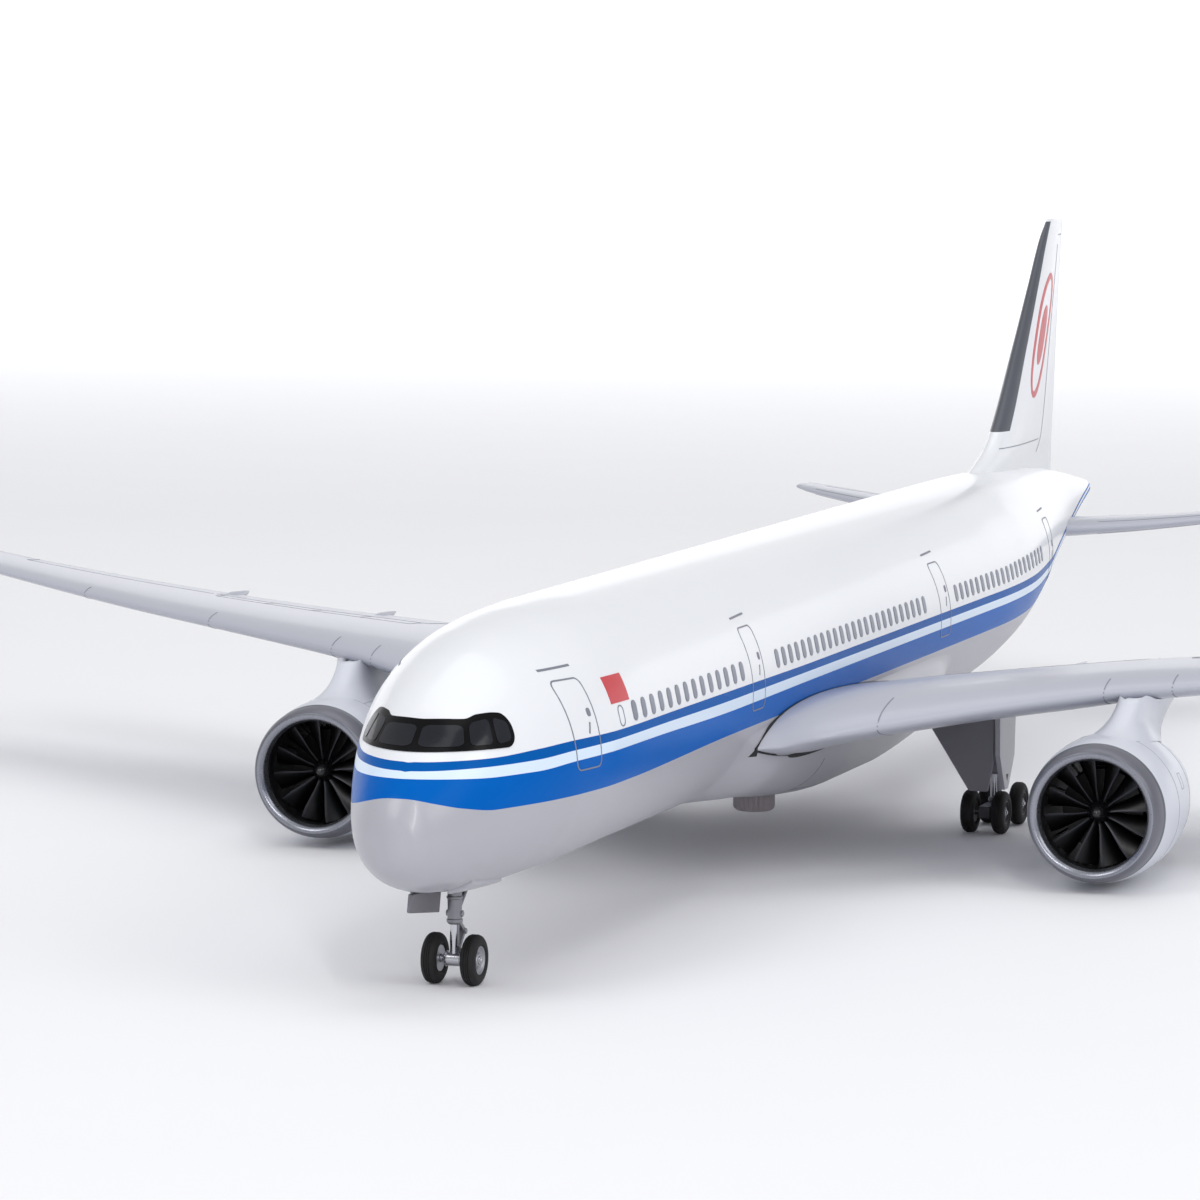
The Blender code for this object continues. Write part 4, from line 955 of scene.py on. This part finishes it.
def cowl_panel_lines(label, side):
    """Two joints round the cowl, three along it, and a small hatch on each flank."""
    bm = bmesh.new()
    surface = cowl_skin(side)
    for along in (1.75, 3.6):
        strip(bm, surface, [(0.26, along), (2 * math.pi - 0.26, along)], 0.026, step=0.05)
    for angle, end in ((math.pi, 5.5), (0.42, 5.2), (2 * math.pi - 0.42, 5.2)):
        strip(bm, surface, [(angle, 1.75), (angle, end)], 0.018, step=0.2)
    for angle in (1.2, 2 * math.pi - 1.2):
        hatch = [(angle + 0.11 * a, 2.45 + 0.16 * b) for a, b in ((-1, -1), (1, -1), (1, 1), (-1, 1))]
        strip(bm, surface, hatch, 0.016, closed=True, step=0.05)
    piece(f"cowl_panel_lines_{label}", bm, [COWL_LINE], "light_grey_paint")


def engine_core(label, side):
    """The core cowl with the cone in its outlet."""
    bm = bmesh.new()
    cowl = [(2.0, 1.10), (2.8, 1.19), (3.6, 1.18), (4.5, 1.12), (5.2, 1.02), (5.9, 0.86), (6.6, 0.70)]
    cowl = [(1.85, 0.0), (1.85, 1.08)] + rounded_path(cowl, 4) + [(6.6, 0.66), (6.0, 0.60), (6.0, 0.0)]
    lathe(bm, cowl, engine_front(side), "Y", 72, loop=False)
    cone = rounded_path([(5.95, 0.50), (6.4, 0.47), (6.9, 0.30), (7.25, 0.12), (7.35, 0.0)], 5)
    lathe(bm, [(5.95, 0.0)] + cone, engine_front(side), "Y", 48, loop=False)
    piece(f"core_cowl_{label}", bm, [CORE_METAL], "core_metal", [f"engine_core_{label}"])


def guide_vanes(label, side):
    """Curved vanes between the duct and the hub, a little behind the fan."""
    bm = bmesh.new()
    vane = ((0.0, -0.20), (0.025, -0.05), (0.045, 0.15), (0.03, 0.15), (0.0, -0.03), (-0.012, -0.19))
    for t in circle(36):
        out, across = radial(t)
        rings = []
        for r in (1.05, 1.25, DUCT_R + 0.03):
            middle = out * r + Vector((0, 1.70, 0))
            rings.append([engine_front(side) + (middle + across * a + Vector((0, b, 0))) * SCALE
                          for a, b in vane])
        skin(bm, rings)
    lathe(bm, [(1.50, 1.06), (1.50, 1.10), (1.92, 1.10), (1.92, 1.06)], engine_front(side), "Y", 72)
    hub = [(1.30, 0.0), (1.30, 1.04), (1.52, 1.07), (1.86, 1.07), (1.86, 0.0)]
    lathe(bm, hub, engine_front(side), "Y", 72, loop=False)
    piece(f"guide_vanes_{label}", bm, [DUCT_DARK], "core_metal")


def pylon(label, side):
    """A slim mast with a rounded front that spreads a little where it meets the cowl and the wing."""
    rings = []
    wing_front, wing_chord = values(WING, ENGINE_X, 1, 3)
    for t in (level / 16 for level in range(17)):  # from the cowl up to the wing
        front = 24.05 + 1.95 * t**1.3 - 0.25 * t**6
        back = 29.2 + 2.9 * t
        flare = 0.42 * (1 - t) ** 4 + 0.08 * t**6
        ring = []
        for a in circle(48):
            along = (1 - math.cos(a)) / 2
            wide = (0.40 + flare) * math.sin(math.pi * along**0.62) ** 0.55 * (1 if a < math.pi else -1)
            station = front + (back - front) * along
            x = ENGINE_X + wide + 0.08 + 0.17 * t
            base = ENGINE_Z + smooth(COWL_OUTSIDE, station - ENGINE_FRONT)
            base += -0.04 - 0.28 * wide * wide if station - ENGINE_FRONT < COWL_END else 0.15
            c = (station - wing_front) / wing_chord
            roof = wing_point(ENGINE_X, max(c, 0.012), False)[2] + 0.10
            roof = roof if c > 0.0 else roof - 0.30 * (wing_front - station) ** 1.4
            ring.append(place(side * x, station, base + (roof - base) * t))
        rings.append(ring)
    shell(f"pylon_fairing_{label}", rings, [COWL_GREY], "light_grey_paint", [f"pylon_{label}"], crease=60)


def fan(label, side):
    """Twisted, swept blades whose front edges carry a lighter painted glint, and the spinner."""
    centre = engine_front(side, FAN_SETBACK)
    bm = bmesh.new()
    count = 10
    chords = crowded_ends(count)
    for t in circle(FAN_BLADES):
        out, across = radial(t + math.pi / FAN_BLADES)
        rings = []
        for radius in spaced(BLADE[0][0], BLADE[-1][0], 14) + [BLADE[-1][0]]:
            stagger, chord, thick = values(BLADE, radius, 1, 2, 3)
            lean = math.radians(stagger)
            along = Vector((0, math.cos(lean), 0)) + across * math.sin(lean)
            flat = across * math.cos(lean) - Vector((0, math.sin(lean), 0))
            sweep = 0.10 * (radius / BLADE[-1][0]) ** 2
            middle = out * radius + Vector((0, 0.55 - sweep, 0))
            ring = []
            for way, line in ((1, chords[::-1]), (-1, chords[1:-1])):
                for c in line:
                    camber = 0.07 * chord * (1 - (2 * c - 1) ** 2)
                    bulge = way * thick * math.sin(math.pi * c) ** 0.6 / 2
                    at = middle + along * (c - 0.5) * chord + flat * (camber + bulge)
                    ring.append(centre + at * SCALE)
            rings.append(ring)
        # the faces along each blade's front edge take the painted glint
        skin(bm, rings, lambda _, column: 1 if abs(column + 0.5 - count) < 2 else 0)
    piece(f"fan_blades_{label}", bm, [FAN_BLACK, BLADE_EDGE_GLINT], "fan_black", [f"fan_{label}"],
          f"fan_rotor_{label}", crease=50)
    bm = bmesh.new()
    nose = [(0.0, 0.0), (0.02, 0.06), (0.10, 0.15), (0.24, 0.25), (0.40, 0.305), (0.62, 0.32)]
    lathe(bm, rounded_path(nose, 5) + [(0.74, 0.315), (0.74, 0.0)], centre, "Y", 64, loop=False)
    piece(f"fan_spinner_{label}", bm, [SPINNER], "fan_black", body=f"fan_rotor_{label}")


def softened(node, name, paint, slot, bevel):
    """A CAD node's own shape with its flat faces made whole and its edges rounded."""
    bm = bmesh.new()
    bm.from_mesh(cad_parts[node].data)
    bmesh.ops.remove_doubles(bm, verts=bm.verts, dist=1e-6)
    bmesh.ops.dissolve_limit(bm, angle_limit=math.radians(1.5), verts=bm.verts, edges=bm.edges)
    piece(name, bm, [paint], slot, [node], bevel=bevel)


# ---------------------------------------------------------------- landing gear
# unless given another metal, a hub takes the painted-shade dark metal; the nose wheels pass the plain hub
# metal
def wheel(label, x, station, outward, body, metal=SHADED_HUB):
    """Tyre with rounded shoulders and grooves, and a dished hub with a ring of bolts."""
    centre = place(x, station, AXLE_Z)
    half, rim = TYRE_WIDTH / 2, HUB_R - 0.015
    bead = [(-half * 0.80, rim), (-half * 0.98, rim + 0.05), (-half * 1.0, rim + 0.11), (-half * 0.93, 0.495),
            (-half * 0.70, 0.552), (-half * 0.42, 0.575)]
    tread = []
    for at in (-0.052, 0.0, 0.052):
        tread += [(at - 0.013, WHEEL_R), (at - 0.008, WHEEL_R - 0.018), (at + 0.008, WHEEL_R - 0.018),
                  (at + 0.013, WHEEL_R)]
    shoulder = rounded_path(bead, 5)
    profile = shoulder + tread + [(-a, r) for a, r in shoulder[::-1]]
    bm = bmesh.new()
    lathe(bm, profile, centre, "X", 72)
    piece(f"{label}_tyre_tread", bm, [TYRE], "tyre", [f"{label}_tyre"], body)
    bm = bmesh.new()
    dish = [(0.10, HUB_R - 0.012), (0.145, HUB_R - 0.006), (0.150, HUB_R - 0.03), (0.115, HUB_R - 0.05),
            (0.085, 0.24), (0.075, 0.19), (0.10, 0.165), (0.125, 0.15), (0.130, 0.10)]
    face = rounded_path(dish, 3) + [(0.04, 0.09), (-0.14, 0.10), (-0.14, HUB_R - 0.03)]
    lathe(bm, [(a * outward, r) for a, r in face], centre, "X", 64)
    for t in circle(8):
        y, z = station + 0.205 * math.cos(t), AXLE_Z + 0.205 * math.sin(t)
        bar(bm, (x + outward * 0.06, y, z), (x + outward * 0.102, y, z), 0.022, 10)
    piece(f"{label}_hub_disc", bm, [metal], "hub", [f"{label}_hub"], body)


def axle(name, x, station, reach, body):
    """A round steel axle with a six-sided nut on each end."""
    bm = bmesh.new()
    bar(bm, (x - reach, station, AXLE_Z), (x + reach, station, AXLE_Z), AXLE_R, 32)
    for way in (-1, 1):
        nut = [(x + way * (reach + more), station, AXLE_Z) for more in (-0.01, 0.03)]
        bar(bm, *nut, 0.055, 6)
    piece(f"{name}_shaft", bm, [STEEL], "bright_steel", [name], body)


def nose_gear():
    """The nose leg: wheels, axle, oleo, torque links, drag brace and tow bar, then its doors."""
    y = NOSE_GEAR_STATION
    for label, side in SIDES:
        wheel(f"nose_wheel_{label}", side * NOSE_WHEEL_X, y, side, "nose_wheelset", HUB)
    axle("nose_axle", 0, y, NOSE_WHEEL_X + 0.15, "nose_wheelset")
    bm = bmesh.new()
    bar(bm, (0, y, AXLE_Z + 0.10), (0, y, -3.75), 0.105, 32, 1)
    for low, high, radius in ((-3.86, -3.05, 0.165), (-3.84, -3.72, 0.185), (-3.30, -3.20, 0.185),
                              (-3.1, -2.6, 0.13)):
        bar(bm, (0, y, low), (0, y, high), radius, 32)
    bar(bm, (-0.21, y, AXLE_Z), (0.21, y, AXLE_Z), 0.165, 32, 1)
    for way in (-1, 1):
        bar(bm, (way * 0.15, y, AXLE_Z), (way * 0.22, y, AXLE_Z), 0.185, 32, 1)
    knee = (y + 0.46, -4.09)
    for start in ((y + 0.08, AXLE_Z + 0.20), (y + 0.10, -3.80)):
        link(bm, start, knee, 0.09, 0.06)
        bar(bm, (-0.12, *start), (0.12, *start), 0.065, 16)
    bar(bm, (-0.12, *knee), (0.12, *knee), 0.07, 16)
    bar(bm, (0, y + 0.05, -3.68), (0, y + 0.90, -3.02), 0.062, 16)
    bar(bm, (-0.20, y + 0.02, -3.62), (0.20, y + 0.02, -3.62), 0.075, 16)
    bar(bm, (0.11, y - 0.06, -3.20), (0.10, y - 0.05, AXLE_Z + 0.3), 0.020, 8)
    piece("nose_gear_strut", bm, [STRUT, STEEL], "strut_grey", ["nose_gear_leg"])
    # the right door hangs from its hinges, the left one lies open against the belly
    # the hanging right door is coloured with the painted-shade plate grey
    softened("nose_gear_door_right", "nose_gear_flap_right", PLATE_SHADED_GREY, "light_grey_paint", 0.03)
    bm = bmesh.new()
    for station in (3.8, 5.0):
        base = smooth(BOTTOM, station)
        bar(bm, (-0.40, station, base + 0.10), (-0.48, station, base - 0.14), 0.035, 12)
        bar(bm, (-0.46, station - 0.12, base - 0.03), (-0.46, station + 0.12, base - 0.03), 0.04, 12)
    piece("nose_gear_door_hinges", bm, [STRUT], "strut_grey")
    stations = (3.5, 3.9, 4.3, 4.7, 5.1, 5.4)
    rings = []
    for x in (0.46 + 0.05 * k for k in range(13)):
        rings.append([belly_skin(x, s, 0.08) for s in stations]
                     + [belly_skin(x, s, -0.03) for s in stations[::-1]])
    shell("nose_gear_flap_left", rings, [BELLY_GREY], "light_grey_paint", ["nose_gear_door_left"], bevel=0.03)


def main_gear(label, side):
    """A main leg: wheels, axles, bogie, oleo with its raked strut, braces, torque links and panels."""
    x, y = side * MAIN_GEAR_X, MAIN_GEAR_STATION
    top_y = y - 1.35
    for end, step in (("front", -1), ("rear", 1)):
        station = y + step * BOGIE_HALF_BASE
        body = f"main_wheelset_{end}_{label}"
        axle(f"main_axle_{end}_{label}", x, station, MAIN_WHEEL_X + 0.15, body)
        for where, out in (("outer", side), ("inner", -side)):
            wheel(f"main_wheel_{end}_{where}_{label}", x + out * MAIN_WHEEL_X, station, out, body)
    # the bogie takes the strut metal darkened with painted shade
    softened(f"bogie_beam_{label}", f"bogie_truck_{label}", SHADED_STRUT, "strut_grey", 0.035)
    bm = bmesh.new()
    front, chord = values(WING, MAIN_GEAR_X, 1, 3)
    _, _, under = wing_point(MAIN_GEAR_X, (top_y - front) / chord, False)
    knee = AXLE_Z + 0.16
    bar(bm, (x, y, knee - 0.01), (x, y, -3.60), 0.125, 32, 1)
    for low, high, radius in ((-3.72, -3.18, 0.185), (-3.74, -3.66, 0.21), (knee, knee + 0.12, 0.18)):
        bar(bm, (x, y, low), (x, y, high), radius, 32)
    bar(bm, (x, y, -3.42), (x, top_y, under + 0.05), 0.195, 32)
    bar(bm, (x - 0.24, y, -3.36), (x + 0.24, y, -3.36), 0.12, 24)
    bar(bm, (x, y + 0.06, -3.45), (x - side * 0.9, y - 0.7, -2.20), 0.07, 20)
    for start, end in (((y + 0.12, knee + 0.06), (y + 0.44, -4.02)), ((y + 0.14, -3.62), (y + 0.44, -4.02))):
        for way in (-1, 1):
            bar(bm, (x + way * 0.11, *start), (x + way * 0.05, *end), 0.04, 12)
    bar(bm, (x - 0.09, y + 0.44, -4.02), (x + 0.09, y + 0.44, -4.02), 0.05, 14)
    bar(bm, (x + 0.13, y - 0.10, -3.4), (x + 0.13, y - 0.10, knee + 0.1), 0.022, 8)
    piece(f"main_gear_strut_{label}", bm, [STRUT, STEEL], "strut_grey", [f"main_gear_leg_{label}"])
    softened(f"main_gear_door_{label}", f"main_gear_side_panel_{label}", BELLY_GREY,
             "light_grey_paint", 0.03)
    # the front panel is coloured with the painted-shade plate grey
    softened(f"main_gear_plate_{label}", f"main_gear_front_panel_{label}", PLATE_SHADED_GREY,
             "strut_grey", 0.03)


# ---------------------------------------------------------------- stand socket plug
def plug():
    """A ribbed knob on a plain peg that fills the stand's socket."""
    top = -3.80 - GAP
    ribs, fine = 24, 8
    rings = []
    # height, radius, depth of the grooves between the ribs
    for z, radius, depth in ((-3.02, 0.20, 0), (-3.06, 0.235, 0), (top, 0.235, 0), (top, KNOB_R - 0.05, 0.02),
                             (top - 0.02, KNOB_R - 0.02, 0.03), (top - 0.05, KNOB_R, 0.035),
                             (top - 0.38, KNOB_R, 0.035), (top - 0.45, KNOB_R - 0.03, 0.025),
                             (top - 0.50, KNOB_R - 0.10, 0.0), (top - 0.502, KNOB_R - 0.20, 0.0),
                             (top - 0.48, KNOB_R - 0.24, 0.0)):
        ring = []
        for k, angle in enumerate(circle(ribs * fine)):
            r = radius - depth * (1 - abs(math.sin(math.pi * k / fine)) ** 0.7)
            ring.append(place(r * math.cos(angle), PLUG_STATION + r * math.sin(angle), z))
        rings.append(ring)
    shell("stand_plug_knob", rings, [KNOB], "knob_grey", ["stand_plug"], "socket_plug")


# ---------------------------------------------------------------- carried-over nodes
def repaint_frame():
    """Gives the nodes whose own shape stays, all of them inside the model, their materials."""
    for node, paint in (("wing_joiner", STEEL), ("nose_weight", LEAD), ("stand_socket", SOCKET)):
        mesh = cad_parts[node].data
        mesh.materials.clear()
        mesh.materials.append(paint)


# ---------------------------------------------------------------- studio
def floor():
    """A round table top that curves up into a low wall far outside the model."""
    far, bend, steps = 3.2, 1.0, 96
    line = [(0.4, 0.0), (1.0, 0.0), (2.0, 0.0), (far, 0.0)]
    line += [(far + bend * math.sin(t), bend * (1 - math.cos(t))) for t in circle(96)[1:25]]
    bm = bmesh.new()
    rows = [[bm.verts.new((r * math.cos(t), r * math.sin(t), z)) for t in circle(steps)] for r, z in line]
    bm.faces.new(rows[0])
    for a, b in zip(rows, rows[1:]):
        for k in range(steps):
            bm.faces.new((a[k], b[k], b[(k + 1) % steps], a[(k + 1) % steps]))
    mesh = bpy.data.meshes.new("floor")
    bm.to_mesh(mesh)
    bm.free()
    mesh.shade_smooth()
    mesh.materials.append(finish("floor_white", (243, 243, 245), 0.8, spread=0.004, grain=300, relief=0.0))
    made = bpy.data.objects.new("floor", mesh)
    bpy.context.scene.collection.objects.link(made)


# name: place, what it is aimed at, width and height, power
LAMPS = {
    "key": ((-0.8, -1.4, 1.5), (0, -0.05, 0.04), (0.9, 0.7), 6.5),
    "side": ((1.7, -0.5, 1.2), (0, 0, 0.05), (1.2, 0.9), 6.5),
    "top": ((0.1, 0.3, 1.8), (0, 0.05, 0.05), (1.8, 1.4), 7),
    "back": ((-0.4, 2.0, 1.9), (-1.0, 4.0, 0.4), (3.0, 0.8), 60),  # lights the wall behind the model
    "nose_strip": ((0.72, -1.5, 0.95), (-0.01, -0.2, 0.03), (0.07, 1.6), 8),  # the streak on the nose
}


def lights():
    world = bpy.data.worlds.new("studio")
    world.use_nodes = True
    set_inputs(world.node_tree.nodes["Background"], Color=(0.97, 0.98, 1, 1), Strength=0.60)
    bpy.context.scene.world = world
    for name, (at, aim, size, power) in LAMPS.items():
        data = bpy.data.lights.new(name, "AREA")
        data.shape = "RECTANGLE"
        data.size, data.size_y = size
        data.energy = power
        lamp = bpy.data.objects.new(name, data)
        bpy.context.scene.collection.objects.link(lamp)
        lamp.location = at
        lamp.rotation_euler = (Vector(aim) - Vector(at)).to_track_quat("-Z", "Y").to_euler()


def camera():
    azimuth, elevation, roll = math.radians(18.638), math.radians(5.904), math.radians(0.423)
    target, distance = place(-4.952, 30, 6.16 - AXIS_HEIGHT), 143.987 * SCALE
    back = Vector((math.sin(azimuth) * math.cos(elevation), -math.cos(azimuth) * math.cos(elevation),
                   math.sin(elevation)))
    data = bpy.data.cameras.new("camera")
    data.lens, data.sensor_width = 158.86, 36
    made = bpy.data.objects.new("camera", data)
    bpy.context.scene.collection.objects.link(made)
    turn = back.to_track_quat("Z", "Y").to_matrix().to_4x4() @ Matrix.Rotation(roll, 4, "Z")
    made.matrix_world = Matrix.Translation(target + back * distance) @ turn
    bpy.context.scene.camera = made


fuselage()
glazing()
nose_gear_bay()
belly_fairing()
fin()
fin_ovals()
plug()
nose_gear()
repaint_frame()
for label, side in SIDES:
    for build in (cabin_side, wing_shell, wing_root_painted_shade, wing_panel_lines, flap_fairings, main_gear_bay,
                  tailplane, nacelle, intake_lip, cowl_panel_lines, engine_core, guide_vanes, pylon, fan,
                  main_gear):
        build(label, side)

for found in [o for o in bpy.data.objects if o.type in ("CAMERA", "LIGHT")]:
    bpy.data.objects.remove(found)
bpy.context.scene.view_settings.view_transform = "Standard"
floor()
lights()
camera()
